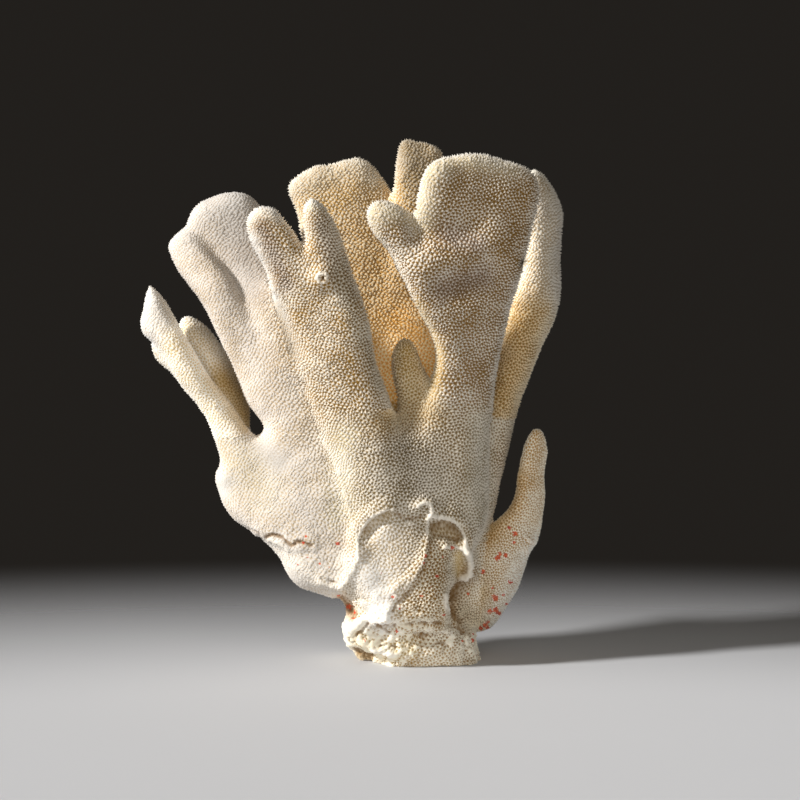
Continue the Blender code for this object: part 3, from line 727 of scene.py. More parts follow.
PATCHES = (
    # Brighter amber in the fork: partly the skeleton's amber tone, partly painted light where the front
    # blades shade it.
    Patch(((-12, 90), (2, 108)), 36, "back_blade", (74, 38, 8), (100, 78, 46)),
    # Painted glow over the fork of the back blade.
    Patch(((-12, 88), (-6, 104), (4, 100)), 26, "back_blade", painted_glow=1),
    # Painted glow along the thin left edge of the front right blade.
    Patch(((4, 110), (5.5, 100), (3, 93)), 4, "front_right_blade palm", painted_glow=0.6),
    Patch(((-4, 106), (-3, 88)), 12, "palm", (46, 28, 6), (92, 78, 54)),
    # Bright orange with painted glow at the bottom of the fork: painted light where shadow falls.
    Patch(((-13, 90), (-10, 86)), 5, "palm back_blade", (80, 42, 8), (100, 76, 42), painted_glow=1),
    Patch(((-22, 120), (-14, 140)), 22, "back_blade", (50, 26, 5), (86, 70, 44), share=0.7),
    Patch(((-44, 160), (-20, 169), (-14, 164)), 9, "back_blade", (52, 40, 24), (84, 79, 69)),
    Patch(((-5, 174), (4, 160)), 14, "back_blade", (24, 16, 6), (50, 43, 33)),
    Patch(((33, 160), (46, 148), (46, 128)), 15, "right_back_branch", (56, 46, 33), (84, 80, 73)),
    Patch(((26, 88), (34, 116)), 16, "right_back_branch", (38, 20, 3), (98, 78, 48)),
    Patch(((-16, 56), (16, 56)), 22, "palm", (27, 19, 8), (92, 86, 75), 0.48, 0.4),
    # Darker palm middle: partly its bluish-grey tone, partly painted shade where the palm turns from the
    # light.
    Patch(((-5, 74), (0, 62)), 15, "palm", (15, 11, 5), (79, 73, 64), share=0.7),
    # Brown band under the left arc's rim: partly the wall's brown, partly painted shade cast by the rim.
    Patch(((-18.2, 43.8), (-15.8, 47.2), (-10.8, 50)), 2.4, "palm", (50, 38, 20), (66, 56, 38), 0.05, 0.03),
    # Dark recess under the right arch: partly olive-brown, partly painted shade under the rim.
    Patch(((5, 44), (9, 45), (13, 42)), 4.6, "palm", (40, 29, 15), (66, 57, 42), 0.2, 0.1),
    Patch(((13, 36), (13.4, 30)), 3.4, "palm", (70, 52, 24), (80, 66, 40), 0.05, 0.05),
    Patch(((-12, 82), (4, 86)), 10, "palm", (34, 20, 6), (72, 60, 40), share=0.8),
    Patch(((-12, 42), (-12, 26)), 14, "palm stump", (62, 50, 33), (100, 96, 90), 0.28, 0.16),
    Patch(((-20, 32), (-14, 22), (-13, 13)), 9, "palm stump", (72, 62, 48), (98, 96, 92), 0.22, 0.12),
    Patch(((7, 38), (4, 30), (2, 18)), 9.5, "palm stump", (30, 16, 3), (100, 93, 76), 0.74, 0.16),
    Patch(((-25, 76), (-27, 50)), 9, "palm left_flank", (56, 46, 27), (86, 82, 75)),
    Patch(((20, 80), (20, 50)), 8, "palm", (36, 29, 17), (88, 83, 73)),
    Patch(((-52.5, 147), (-49, 138), (-45, 128)), 6, "front_left_blade", (20, 12, 5), (74, 66, 58)),
    Patch(((-33, 147), (-28, 134), (-24, 124)), 6, "front_left_blade", (20, 12, 5), (78, 71, 60)),
    Patch(((-56, 143), (-52, 130), (-46, 114)), 5, "front_left_blade", (55, 47, 38), (86, 83, 79)),
    Patch(((-57, 150), (-52, 153), (-47, 151)), 5, "front_left_blade", (62, 54, 42), (88, 85, 80)),
    Patch(((-39, 154), (-33, 155)), 5, "front_left_blade", (58, 48, 30), (88, 85, 78)),
    Patch(((0, 149), (2, 164), (11, 170), (30, 168)), 8, "front_right_blade", (62, 52, 34), (86, 82, 74)),
    Patch(((14, 112), (13, 92)), 10, "front_right_blade palm", (34, 20, 6), (100, 96, 88), share=0.8),
    # Painted glow that brightens the far-left branch.
    Patch(((-85, 112), (-73, 96), (-64, 78)), 10, "far_left_branch", painted_glow=1.2),
    # Darker grey at the crease of the far-left tip: painted shade in the crease.
    Patch(((-88, 122), (-84, 116)), 5, "far_left_branch", (44, 36, 26), (72, 68, 61)),
    Patch(((-60, 148), (-57, 128)), 16, "back_left_blade", (44, 37, 30), (60, 56, 52)),
    Patch(((-16, 151), (-8, 153)), 9, "front_right_blade", (62, 52, 34), (86, 82, 74)),
    # Darker bands along the front right blade's hollows: painted shade over the relief.
    Patch(((9, 144), (18, 141)), 7, "front_right_blade", (24, 15, 9), (68, 60, 54), share=0.7),
    Patch(((8, 126), (20, 130)), 8, "front_right_blade", (22, 14, 8), (66, 58, 52), share=0.8),
    Patch(((-16, 147), (-4, 124)), 2.4, "front_right_blade", (62, 50, 30), (86, 80, 70)),
    # Darker golden strip on the front right blade's left rim: golden tone with painted shade from the front
    # left blade.
    Patch(((-2, 120), (6, 104), (4, 92)), 5, "front_right_blade palm", (46, 30, 10), (70, 60, 42)),
    Patch(((33.6, 134.4), (34.6, 135.4)), 1.6, "front_right_blade right_back_branch", (8, 5, 2), (10, 7, 3),
          2, 0),
    Patch(((-70, 158), (-56, 156)), 16, "back_left_blade", (50, 45, 39), (72, 70, 68), share=0.8),
    Patch(((-83, 142), (-78, 145)), 9, "back_left_blade", (56, 50, 43), (78, 75.5, 73), share=0.7),
    Patch(((-91, 126), (-91, 110)), 10, "far_left_branch", (68, 60, 50), (88, 86, 83), 0.28, 0.28),
    Patch(((-27, 133), (-25, 126), (-22, 116), (-17, 104), (-14, 94)), 6, "front_left_blade", (22, 14, 5),
          (76, 70, 58), share=0.8),
    # Brown in the stump's neck hollow: partly brownish crust, partly painted shade in the hollow.
    Patch(((-27, 20), (-23, 16)), 4.5, "stump left_flank palm", (26, 14, 6), (52, 38, 25)),
    # Dark brown under the stump's raised lower-left edge: painted shade under the edge.
    Patch(((-23, 1.5), (-17, 0.5)), 2.2, "stump", (26, 16, 6), (60, 46, 27)),
    Patch(((-20, 6), (-10, 3), (-4, 4)), 7, "stump", (60, 44, 20), (100, 91, 70), share=0.9),
    Patch(((4, 8), (14, 10), (16, 2)), 9, "stump", (32, 18, 5), (100, 94, 79), 0.6, 0.18),
    Patch(((16, 34), (20, 22), (18, 14)), 8, "right_finger", (26, 13, 3), (84, 66, 40), 0.7, 0.25),
    # Dark brown between the column and the right finger: brown tone with painted shade in the crease.
    Patch(((16, 30), (12, 22), (13, 15)), 5, "right_finger palm stump", (26, 16, 7), (54, 44, 32),
          share=0.9),
    Patch(((-66, 62), (-66, 58)), 5, "left_flank", (78, 74, 68), (85, 82, 77), 0.06, 0.05),
    Patch(((-53, 73), (-48, 68)), 7, "left_flank", (60, 54, 47), (69, 65, 60), 0.1, 0.08),
    Patch(((-60, 68), (-52, 58)), 12, "left_flank", (56, 44, 24), (77, 72, 62), share=0.7),
    Patch(((-47.5, 120), (-42, 104)), 4, "front_left_blade", (46, 36, 24), (62, 57, 49)),
    # Darker amber on the inner left lobe: its amber tone with a painted shadow of the far-left branch.
    Patch(((-66, 96), (-61, 90), (-57, 81)), 8, "far_left_branch", (36, 22, 6), (62, 47, 26)),
    Patch(((-50, 38), (-30, 26)), 9, "left_flank", (66, 55, 40), (86, 82, 76), 0.3, 0.26),
    Patch(((31, 64), (28.5, 54), (21, 42), (16, 34)), 8, "right_finger", (34, 17, 3), (78, 56, 28), 0.6,
          0.3),
    Patch(((37, 40), (32, 26), (25, 14)), 9, "right_finger", (46, 28, 10), (100, 97, 88), 0.8, 0.3),
    Patch(((14, 17), (20, 13)), 6, "right_finger stump", (16, 9, 3), (84, 72, 52), 0.9, 0.3),
)


@dataclass(frozen=True)
class Seam:
    """A crisp ridge or groove: its line (x, z), half width, height, and glaze from brown to white."""

    line: Line
    width: float
    height: float
    # Glaze from brown to white; a groove's brown is partly the skeleton's own brown, partly painted shade in
    # it.
    glaze: float

    def share(self, x: Array, z: Array) -> Array:
        """How much of it reaches each drawn point."""
        return np.exp(-((Plane2D.distance(x, z, self.line) / self.width) ** 2))


SEAMS = tuple(Seam(*row) for row in (
    (((-20.6, 35.3), (-21, 38.3), (-20.8, 42.6), (-18.7, 46.4), (-15.7, 49.6), (-12.1, 51.4), (-9.2, 51.6)),
     0.6, 0.7, 0.9),
    # This groove's brown is partly painted shade under the left arc's rim.
    (((-18, 44), (-15.9, 47), (-12.6, 49.2), (-10.4, 50.2)), 1.2, -1.5, -0.35),
    (((-8.2, 50.6), (-5.3, 48.7), (-1.9, 48.6), (0.7, 49.6)), 0.8, -0.5, -0.6),
    (((-4.5, 47.2), (-1.5, 46.8)), 0.9, 0.6, 0.5),
    (((-0.7, 53), (1.4, 54), (3.4, 53.8), (4, 51.5), (2.6, 48.5), (2.4, 44)), 0.8, 0.8, 0.9),
    (((4.1, 50), (5.5, 49.3), (7.5, 49.2), (10.9, 48.1), (13.4, 45.6), (15.1, 41.7), (15.6, 37.5)), 0.9, 1,
     1),
    (((15.8, 37.5), (17, 33.6), (16.8, 29.6), (13.6, 27.4)), 1.1, 1.2, 1),
    # These two grooves' brown is partly the recess's olive-brown, partly painted shade under the arch's rim.
    (((4.8, 45.8), (7.8, 46.6), (11, 45.6), (13.4, 42.4)), 1.7, -1.7, -0.6),
    (((5, 43.2), (9, 42.8), (12, 41.2)), 1, -0.8, -0.6),
    (((8.4, 38.9), (11.5, 39.2), (14, 38.4)), 0.7, 0.8, 0.8),
    (((12.9, 36.4), (14, 32.5), (13.6, 29.6)), 1.3, -1.1, 0.1),
    (((2.4, 42.6), (2.1, 36.6), (0.3, 32.4), (-1.9, 28.1), (-5.3, 24.3), (-8.7, 21.3)), 0.6, 0.4, 0.55),
    (((3.6, 42), (3.4, 36.4), (1.6, 31.6), (-0.7, 27.3), (-4.2, 23.2), (-7.6, 19.8), (-10, 16)), 0.7, -0.6,
     -0.6),
    (((-20.6, 35.3), (-22.5, 31), (-24.6, 27), (-27, 25)), 0.6, 0.4, 0.5),
    (((8.4, 22.6), (8.8, 19), (10.2, 16.2)), 0.8, 0.9, 1),
    (((13.8, 26.8), (11.6, 24), (10.9, 20), (11.4, 16), (13.6, 13.6), (14.2, 10.4)), 1.1, -1.8, -1),
    (((-32.8, 76), (-29, 70), (-25.6, 60), (-24, 53), (-21.6, 44)), 0.7, 0.45, 0.35),
    (((-89, 105.6), (-87.3, 102), (-84, 98)), 0.7, -0.7, -0.3),
    (((-14, 11.4), (-6, 12.4), (2, 12.6), (9, 12.4), (13, 11.2)), 0.7, -0.8, -0.6),
    (((-13, 10), (-5, 11), (4, 11), (12, 9.6)), 0.9, 0.5, 0.3),
    # This groove's brown is partly painted shade in the stump's neck hollow.
    (((-27.2, 20.4), (-24.4, 18.6), (-22.6, 16.2)), 1.5, -1.2, -1),
    (((-25.6, 12.6), (-22.4, 11), (-20.2, 13.4)), 1.5, 0.9, 0.65),
    (((-19.2, 19.5), (-16.6, 16.8), (-18.2, 13.8)), 1.2, 0.6, 0.4),
    (((-0.7, 8.6), (2.4, 8.9)), 0.8, -1.1, -0.5),
    (((-22.4, 8.4), (-20, 9.8), (-17.8, 12.8)), 0.7, -1, -1),
    (((-15, 12.4), (-12.4, 10.6), (-10.2, 9.6)), 0.6, -0.8, -0.9),
    (((-14.4, 4.6), (-10.8, 5.6), (-7.6, 4.4)), 0.5, -0.7, -0.7),
    (((3.4, 5), (6.8, 6.4), (9.6, 5.4)), 0.5, -0.6, -0.6),
    (((35.2, 38.8), (36.2, 36.4), (35.4, 33.4)), 0.8, 0.9, 0.6),
    # This groove's dark brown is painted shade under the stump's raised lower-left edge.
    (((-22.4, 3.2), (-19.4, 2.4), (-17, 1)), 1.2, -1.8, -1),
    (((-16, 4.6), (-10, 2.6), (-5, 2.2)), 1.2, 0.8, 0.5),
    (((-59.6, 45.8), (-54.8, 43.9), (-52.8, 41)), 0.6, -0.7, -0.5),
    (((-57, 43.2), (-53.8, 40.4), (-51, 38)), 0.9, 0.6, 0.6),
    (((-51.8, 42.2), (-49.4, 43.2), (-46, 42), (-43.3, 39.2), (-41, 40.8), (-38.6, 40.4), (-36.5, 39.3)),
     0.7, -0.8, -1.1),
    (((-50.4, 41.2), (-47.4, 40.6), (-44.6, 38.2)), 0.7, 0.4, 0.6),
    (((-33, 28.4), (-29.4, 27), (-26.2, 26.2)), 0.5, -0.5, -0.5),
    (((-33.5, 27), (-29.6, 25.6)), 0.7, 0.5, 0.6),
    (((-32.6, 129.8),), 2, 1.4, 1.3),
    (((-32.4, 129.6),), 0.8, -3, -3),
    (((-49.2, 126),), 1.2, 0.5, 0.7),
    (((38.4, 40.4), (36.6, 41.2)), 0.9, 0.7, 0.6),
))

SPOTS = (
    (-27.5, 40, 0.8), (-22.5, 35.5, 0.6), (-30.7, 32, 0.5), (-13, 30, 0.4), (-9.2, 22, 0.6),
    (-6.8, 18, 0.6), (0.5, 22.3, 0.7), (5.8, 29, 0.7), (1.6, 33.5, 0.7), (2.1, 36, 0.8),
    (10.6, 38.8, 0.9), (7.6, 35.6, 0.5), (-7.6, 10.3, 0.8), (8.1, 15.8, 0.6), (31.8, 43.6, 1),
    (30, 45.5, 0.75), (26.2, 35.3, 1.12), (27, 36.6, 0.88), (28.8, 36.2, 1), (21.3, 30.6, 0.88),
    (30.2, 27, 0.75), (25.4, 21.5, 1.12), (16.3, 22.8, 0.62), (23.6, 17.2, 1), (25.6, 17.4, 1),
    (26.6, 16.4, 0.88), (22, 12.2, 0.88), (22.8, 11.4, 0.75), (20.6, 11.2, 0.88), (22.8, 13.4, 0.75),
    (18.3, 9.4, 0.75), (14.6, 6.9, 0.62), (17.9, 6.9, 0.75), (-27.3, 22.2, 0.6), (-24.6, 18.4, 1),
    (-22.6, 16.8, 0.7), (-22.4, 14.6, 0.6), (-18.6, 7, 0.5), (-38.2, 42.7, 0.6), (-39.4, 40.2, 0.7),
    (-37.8, 35.3, 0.5), (-41, 33, 0.4), (-33.6, 33.4, 0.5), (-30.6, 36, 0.4), (31.6, 40.6, 0.75),
    (24.4, 25, 0.5), (28.2, 22.6, 0.62), (28.9, 19.6, 0.62), (-5.4, 24.8, 0.4), (3.8, 25.4, 0.4),
)


@dataclass
class Coat:
    """The traits of every pore: the colours of its hollow and grains, its depth, its hood and its crust.

    Crust covers the foot up to foot_top, and some broken edges, each a line, a half width and a strength.
    """

    pores: Pores
    regions: Sequence[Region]
    patches: Sequence[Patch]
    blend_passes: int = 40
    front: Pair = (0.8, -2)
    foot_top: Pair = (13, 21)
    foot_lean: float = 0.12
    foot_right: float = 21
    broken: Sequence[tuple[Line, float, float]] = (
        (((-56, 42), (-36, 38), (-27, 26)), 5, 0.6),
        (((-18, 24), (-10, 16)), 6, 0.6),
    )
    owner: Array = field(init=False)
    traits: dict[str, Array] = field(init=False)

    def paint(self, nodes: dict[str, Object]) -> None:
        """Gives each pore its node and its traits.

        Args:
            nodes: the solid model's nodes.
        """
        centres = self.pores.centres
        x, z = Eye.to_drawing(centres)
        self.owner = self.nearest_node(centres, nodes)
        names = np.array([region.node for region in self.regions])[self.owner]
        front = np.clip(self.front[0] + self.front[1] * self.pores.normals[:, 1], 0, 1)
        self.traits = {}
        for trait in ("hollow", "grain", "wide", "cup", "hood", "painted_glow"):
            percent = 100 if trait in ("hollow", "grain") else 1
            value = np.array([getattr(region, trait) for region in self.regions])[self.owner] / percent
            value = self.blend(value.reshape(len(centres), -1))
            for patch in self.patches:
                target = getattr(patch, trait, None)
                if target is not None:
                    share = (patch.weight(x, z) * front * np.isin(names, patch.nodes.split()))[:, None]
                    value = value + (np.array(target) / percent - value) * share
            self.traits[trait] = value
        crusts = [np.interp(z + self.foot_lean * x, self.foot_top, (1, 0)) * (x < self.foot_right)]
        for line, width, strength in self.broken:
            crusts.append(strength * np.exp(-((Plane2D.distance(x, z, line) / width) ** 2)))
        self.traits["crust"] = self.blend(np.max(crusts, axis=0)[:, None])
        LOG.info("coat: %d patches", len(self.patches))

    def nearest_node(self, centres: Array, nodes: dict[str, Object]) -> Array:
        """Finds the region whose solid lies nearest to each pore.

        Args:
            centres: the pores.
            nodes: the solid model's nodes.

        Returns:
            The number of a region for each pore.
        """
        points, faces, homes = [], [], []
        for number, region in enumerate(self.regions):
            mesh = nodes[region.node].data
            start = len(points)
            points += [vertex.co / MM for vertex in mesh.vertices]
            faces += [[start + corner for corner in polygon.vertices] for polygon in mesh.polygons]
            homes += [number] * len(mesh.polygons)
        tree = BVHTree.FromPolygons(points, faces)
        return np.array([homes[tree.find_nearest(Vector(centre))[2]] for centre in centres])

    def blend(self, values: Array) -> Array:
        """Evens values out between neighbouring pores.

        Args:
            values: the values, one pore a row.

        Returns:
            The softer values.
        """
        pairs = np.concatenate([self.pores.facets[:, (k, (k + 1) % 3)] for k in range(3)])
        pairs = np.concatenate((pairs, pairs[:, ::-1]))
        count = 1 + np.bincount(pairs[:, 0], minlength=len(values))
        columns = []
        for value in values.astype(float).T:
            for _ in range(self.blend_passes):
                value = (value + np.bincount(pairs[:, 0], value[pairs[:, 1]], len(value))) / count
            columns.append(value)
        return np.column_stack(columns)


@dataclass
class Colony:
    """The surface as meshes. Each pore is a sunken cup with a tall grain, its hood, on its upper side.

    Spreads and limits are factors for chance, levels and shares mostly run from 0 to 1, and a pitch says how
    fine a noise is. A lump of the crust is a pitch and a height. Other sizes are in millimetres.
    """

    pores: Pores
    coat: Coat
    seams: Sequence[Seam]
    spots: Sequence[Triple]
    grain: float = 0.10
    saddle: float = 0.03
    hood_spread: Pair = (0.7, 1.3)
    grain_spread: float = 1.4
    cup_spread: float = 0.2
    crust_cup: float = 0.3
    filled: float = 0.95
    closing: float = 0.25
    scatter: float = 0.6
    clump_pitch: float = 0.35
    clump_share: float = 1.2
    leftward_share: float = 0.5
    foot_middle: float = -4
    foot_half: float = 12
    plaster: Triple = (0.7, 1.5, -0.4)
    closed_level: float = 0.6
    hood_level: float = 1.0
    grain_level: float = 0.62
    saddle_level: float = 0.45
    least_crust: float = 0.01
    crust_lumps: Line = ((0.33, 0.8), (0.9, 0.45))
    crust_glaze: Triple = (1.3, -0.4, 0.42)
    seam_reach: float = 2.5
    seam_front: Pair = (0.2, -2.5)
    seam_back: float = 12
    seam_pitch: float = 0.6
    seam_wobble: float = 0.5
    seam_limits: Pair = (0.2, 1.4)
    spot_front: float = -0.15
    spot_back: float = 24
    no_spot: float = 9.0
    seed: int = 3

    def build(self, finishes: dict[Slot, Material]) -> None:
        """Builds one piece for each node, and puts each in the node's place.

        Args:
            finishes: the material of each slot.
        """
        centres, normals, facets = self.pores.centres, self.pores.normals, self.pores.facets
        a, b, left, right = self.edges()

        def everywhere(values: Array) -> Array:
            """The values of the pores, then those of the facets and of the edges between them."""
            return np.concatenate((values, values[facets].mean(1), (values[a] + values[b]) / 2))

        base = everywhere(centres)
        leaning = Workshop.unit(normals[facets].sum(1)), Workshop.unit(normals[a] + normals[b])
        upright = np.concatenate((normals, *leaning))
        rise, level = self.heights(len(a))
        lift, glaze = self.crust(base, upright, everywhere(self.coat.traits["crust"])[:, 0])
        share, gain, start = self.plaster
        rise = rise * (1 - share * np.clip(glaze * gain + start, 0, 1)) + lift
        points = base + upright * rise[:, None]
        points[:, 2] = np.maximum(points[:, 2], 0)
        shown = {name: everywhere(self.coat.traits[name]) for name in ("hollow", "grain", "wide", "painted_glow")}
        shown |= {"pore": level, "glaze": glaze, "spot": self.redness(base, upright)}
        first_facet = len(centres)
        left, right = left + first_facet, right + first_facet
        mid = first_facet + len(facets) + np.arange(len(a))
        faces = np.concatenate([np.column_stack(corners) for corners in
                                ((a, right, mid), (a, mid, left), (b, left, mid), (b, mid, right))])
        homes = self.coat.owner[np.concatenate((a, a, b, b))]
        for number, region in enumerate(self.coat.regions):
            self.piece(region, points, faces[homes == number], shown, finishes[region.slot])

    def edges(self) -> tuple[Array, ...]:
        """Finds the edges between neighbouring pores.

        Returns:
            The pores at both ends of each edge, and the facets at its left and right.
        """
        facets, count = self.pores.facets, len(self.pores.centres)
        edges = np.concatenate([facets[:, (k, (k + 1) % 3)] for k in range(3)])
        side = np.tile(np.arange(len(facets)), 3)
        forward = edges[:, 0] < edges[:, 1]
        keys = edges.min(1) * count + edges.max(1)
        order = np.lexsort((~forward, keys))
        keys, side, forward = keys[order], side[order], forward[order]
        pair = np.flatnonzero((keys[1:] == keys[:-1]) & forward[:-1] & ~forward[1:])
        return keys[pair] // count, keys[pair] % count, side[pair], side[pair + 1]

    def heights(self, edges: int) -> tuple[Array, Array]:
        """Works out how the cups sink and the grains stand out.

        Args:
            edges: how many edges there are.

        Returns:
            The heights in millimetres of pores, facets and edges, and how pale each of them is.
        """
        centres, facets = self.pores.centres, len(self.pores.facets)
        chance = np.random.default_rng(self.seed)
        hooded = self.hoods()
        height = hooded * chance.uniform(*self.hood_spread, facets)
        height = height + self.grain * chance.uniform(0, self.grain_spread, facets)
        crusted = self.coat.traits["crust"][:, 0]
        leftward = np.clip((self.foot_middle - Eye.to_drawing(centres)[0]) / self.foot_half, -1, 1)
        clumps = chance.uniform(-self.scatter, self.scatter, len(centres))
        clumps = clumps + self.clump_share * Workshop.waves(centres, self.clump_pitch)
        closed = clumps + self.leftward_share * leftward > self.closing
        cup = self.coat.traits["cup"][:, 0] * (1 + self.cup_spread * chance.uniform(-1, 1, len(centres)))
        cup = cup * (1 + self.crust_cup * crusted) * (1 - self.filled * crusted * closed)
        grains = np.where(hooded > 0, self.hood_level, self.grain_level)
        level = (self.closed_level * crusted * closed, grains, np.full(edges, self.saddle_level))
        return np.concatenate((-cup, height, np.full(edges, self.saddle))), np.concatenate(level)

    def hoods(self) -> Array:
        """Gives each pore's hood to the facet that lies highest beside it.

        Returns:
            The height of the hood on each facet, or 0.
        """
        facets, centres = self.pores.facets, self.pores.centres
        middle = centres[facets].mean(1)
        above = middle[:, None, 2] - centres[facets][:, :, 2]
        highest = np.full(len(centres), -FAR)
        np.maximum.at(highest, facets.ravel(), above.ravel())
        best = above >= highest[facets] - TINY
        return np.where(best.any(1), self.coat.traits["hood"][facets, 0].mean(1), 0)

    def crust(self, base: Array, upright: Array, share: Array) -> tuple[Array, ...]:
        """The lift and glaze of the seams and of the broken crust near the foot.

        Args:
            base: points on the skin.
            upright: the skin's normals there.
            share: how crusted each point is.

        Returns:
            The lift in millimetres, and the glaze from -1, brown, to 1, white.
        """
        x, z = Eye.to_drawing(base)
        front = np.clip(self.seam_front[1] * upright[:, 1] + self.seam_front[0], 0, 1)
        front = front * (base[:, 1] < self.seam_back)
        lift, glaze = np.zeros(len(base)), np.zeros(len(base))
        rough = share > self.least_crust
        broken = sum(height * Workshop.waves(base[rough], pitch) for pitch, height in self.crust_lumps)
        gain, brown, white = self.crust_glaze
        lift[rough] = broken * share[rough]
        glaze[rough] = np.clip(broken * gain, brown, white) * share[rough]
        # A groove's brown glaze is partly painted shade in the groove.
        for seam in self.seams:
            reach = self.seam_reach * seam.width
            near = np.flatnonzero((Plane2D.distance(x, z, seam.line) < reach) & (front > 0))
            ragged = 1 + self.seam_wobble * Workshop.waves(base[near], self.seam_pitch)
            strength = seam.share(x[near], z[near]) * front[near] * np.clip(ragged, *self.seam_limits)
            lift[near] += seam.height * strength
            glaze[near] += seam.glaze * strength
        return lift, np.clip(glaze, -1, 1)

    def redness(self, base: Array, upright: Array) -> Array:
        """How far points on the front lie from the nearest red spot, as a share of its radius."""
        x, z = Eye.to_drawing(base)
        away = np.min([np.hypot(x - spot[0], z - spot[1]) / spot[2] for spot in self.spots], axis=0)
        spotted = (upright[:, 1] < self.spot_front) & (base[:, 1] < self.spot_back)
        return np.where(spotted, away, self.no_spot)

    @staticmethod
    def piece(region: Region, points: Array, faces: Array, shown: dict[str, Array],
              finish: Material) -> None:
        """Makes the mesh of one node and puts it in the node's place.

        Args:
            region: the node's region.
            points: all points of the colony, in millimetres.
            faces: the node's triangles.
            shown: what the finish reads at all points, by name.
            finish: the node's material.
        """
        used, faces = np.unique(faces, return_inverse=True)
        faces = faces.reshape(-1, 3)
        mesh = bpy.data.meshes.new(region.node + "_skin")
        mesh.vertices.add(len(used))
        mesh.vertices.foreach_set("co", (points[used] * MM).ravel())
        mesh.loops.add(faces.size)
        mesh.loops.foreach_set("vertex_index", faces.ravel())
        mesh.polygons.add(len(faces))
        mesh.polygons.foreach_set("loop_start", np.arange(0, faces.size, 3))
        mesh.update(calc_edges=True)
        for name, value in shown.items():
            value, kind, part = value[used].reshape(len(used), -1), "FLOAT", "value"
            if value.shape[1] == 3:
                value, kind, part = np.column_stack((value, np.ones(len(used)))), "FLOAT_COLOR", "color"
            trait = mesh.attributes.new(name, kind, "POINT")
            trait.data.foreach_set(part, value.astype(np.float32).ravel())
        mesh.materials.append(finish)
        mesh.validate()
        piece = Workshop.place(bpy.data.objects.new(region.node + "_skin", mesh))
        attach(piece, "root")
        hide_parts(region.node)
        LOG.info("%s: %d triangles", piece.name, len(faces))


class Wire:
    """A shader socket that adds Math nodes when it is used in an expression."""

    def __init__(self, graph: "Graph", socket: NodeSocket) -> None:
        """Keeps the socket and its graph."""
        self.graph = graph
        self.socket = socket

    def math(self, operation: str, *values: Any) -> "Wire":
        """A Math node on this and other values."""
        return self.graph.node("ShaderNodeMath", {"operation": operation}, dict(enumerate((self, *values))))

    def __add__(self, other: Any) -> "Wire":
        """This value plus another."""
        return self.math("ADD", other)

    __radd__ = __add__

    def __sub__(self, other: Any) -> "Wire":
        """This value less another."""
        return self.math("SUBTRACT", other)

    def __rsub__(self, other: Any) -> "Wire":
        """Another value less this one."""
        return self.graph.node("ShaderNodeMath", {"operation": "SUBTRACT"}, {0: other, 1: self})

    def __mul__(self, other: Any) -> "Wire":
        """This value times another."""
        return self.math("MULTIPLY", other)

    __rmul__ = __mul__

    def step(self, low: float, high: float) -> "Wire":
        """A smooth step of this value from 0 at low to 1 at high."""
        inputs = {"Value": self, "From Min": low, "From Max": high}
        return self.graph.node("ShaderNodeMapRange", {"interpolation_type": "SMOOTHSTEP"}, inputs)


class Graph:
    """A material's nodes."""

    def __init__(self, name: str) -> None:
        """Makes the material with a Principled shader."""
        self.material = bpy.data.materials.new(name)
        self.material.use_nodes = True
        self.tree = self.material.node_tree

    def node(self, kind: str, settings: dict[str, Any] | None = None, inputs: dict[Any, Any] | None = None,
             output: Any = 0) -> Wire:
        """Adds a node.

        Args:
            kind: the node's type.
            settings: what is set on the node before its sockets.
            inputs: a value or a wire for each socket, by name or number.
            output: the socket to give back, by name or number.

        Returns:
            The output as a wire.
        """
        made = self.tree.nodes.new(kind)
        for name, value in (settings or {}).items():
            setattr(made, name, value)
        self.feed(made, inputs or {})
        return Wire(self, made.outputs[output])

    def feed(self, node: Node, inputs: dict[Any, Any]) -> None:
        """Links a wire to each of some sockets of a node, or sets its value."""
        for key, value in inputs.items():
            if isinstance(value, Wire):
                self.tree.links.new(value.socket, node.inputs[key])
            else:
                node.inputs[key].default_value = value

    def finish(self, inputs: dict[str, Any]) -> Material:
        """Feeds the Principled shader and gives the material back."""
        self.feed(self.tree.nodes["Principled BSDF"], inputs)
        return self.material

    def trait(self, name: str, output: str = "Fac") -> Wire:
        """A trait of the mesh."""
        return self.node("ShaderNodeAttribute", {"attribute_name": name}, output=output)

    def mix(self, share: Any, first: Any, second: Any) -> Wire:
        """A colour between two others."""
        return self.node("ShaderNodeMix", {"data_type": "RGBA"}, {0: share, 6: first, 7: second}, output=2)

    def place(self) -> Wire:
        """The place in space, in metres."""
        return self.node("ShaderNodeNewGeometry", output="Position")

    def noise(self, scale: float, detail: float = 2.0) -> Wire:
        """Noise in space, with this scale for a metre."""
        inputs = {"Vector": self.place(), "Scale": scale, "Detail": detail}
        return self.node("ShaderNodeTexNoise", None, inputs)


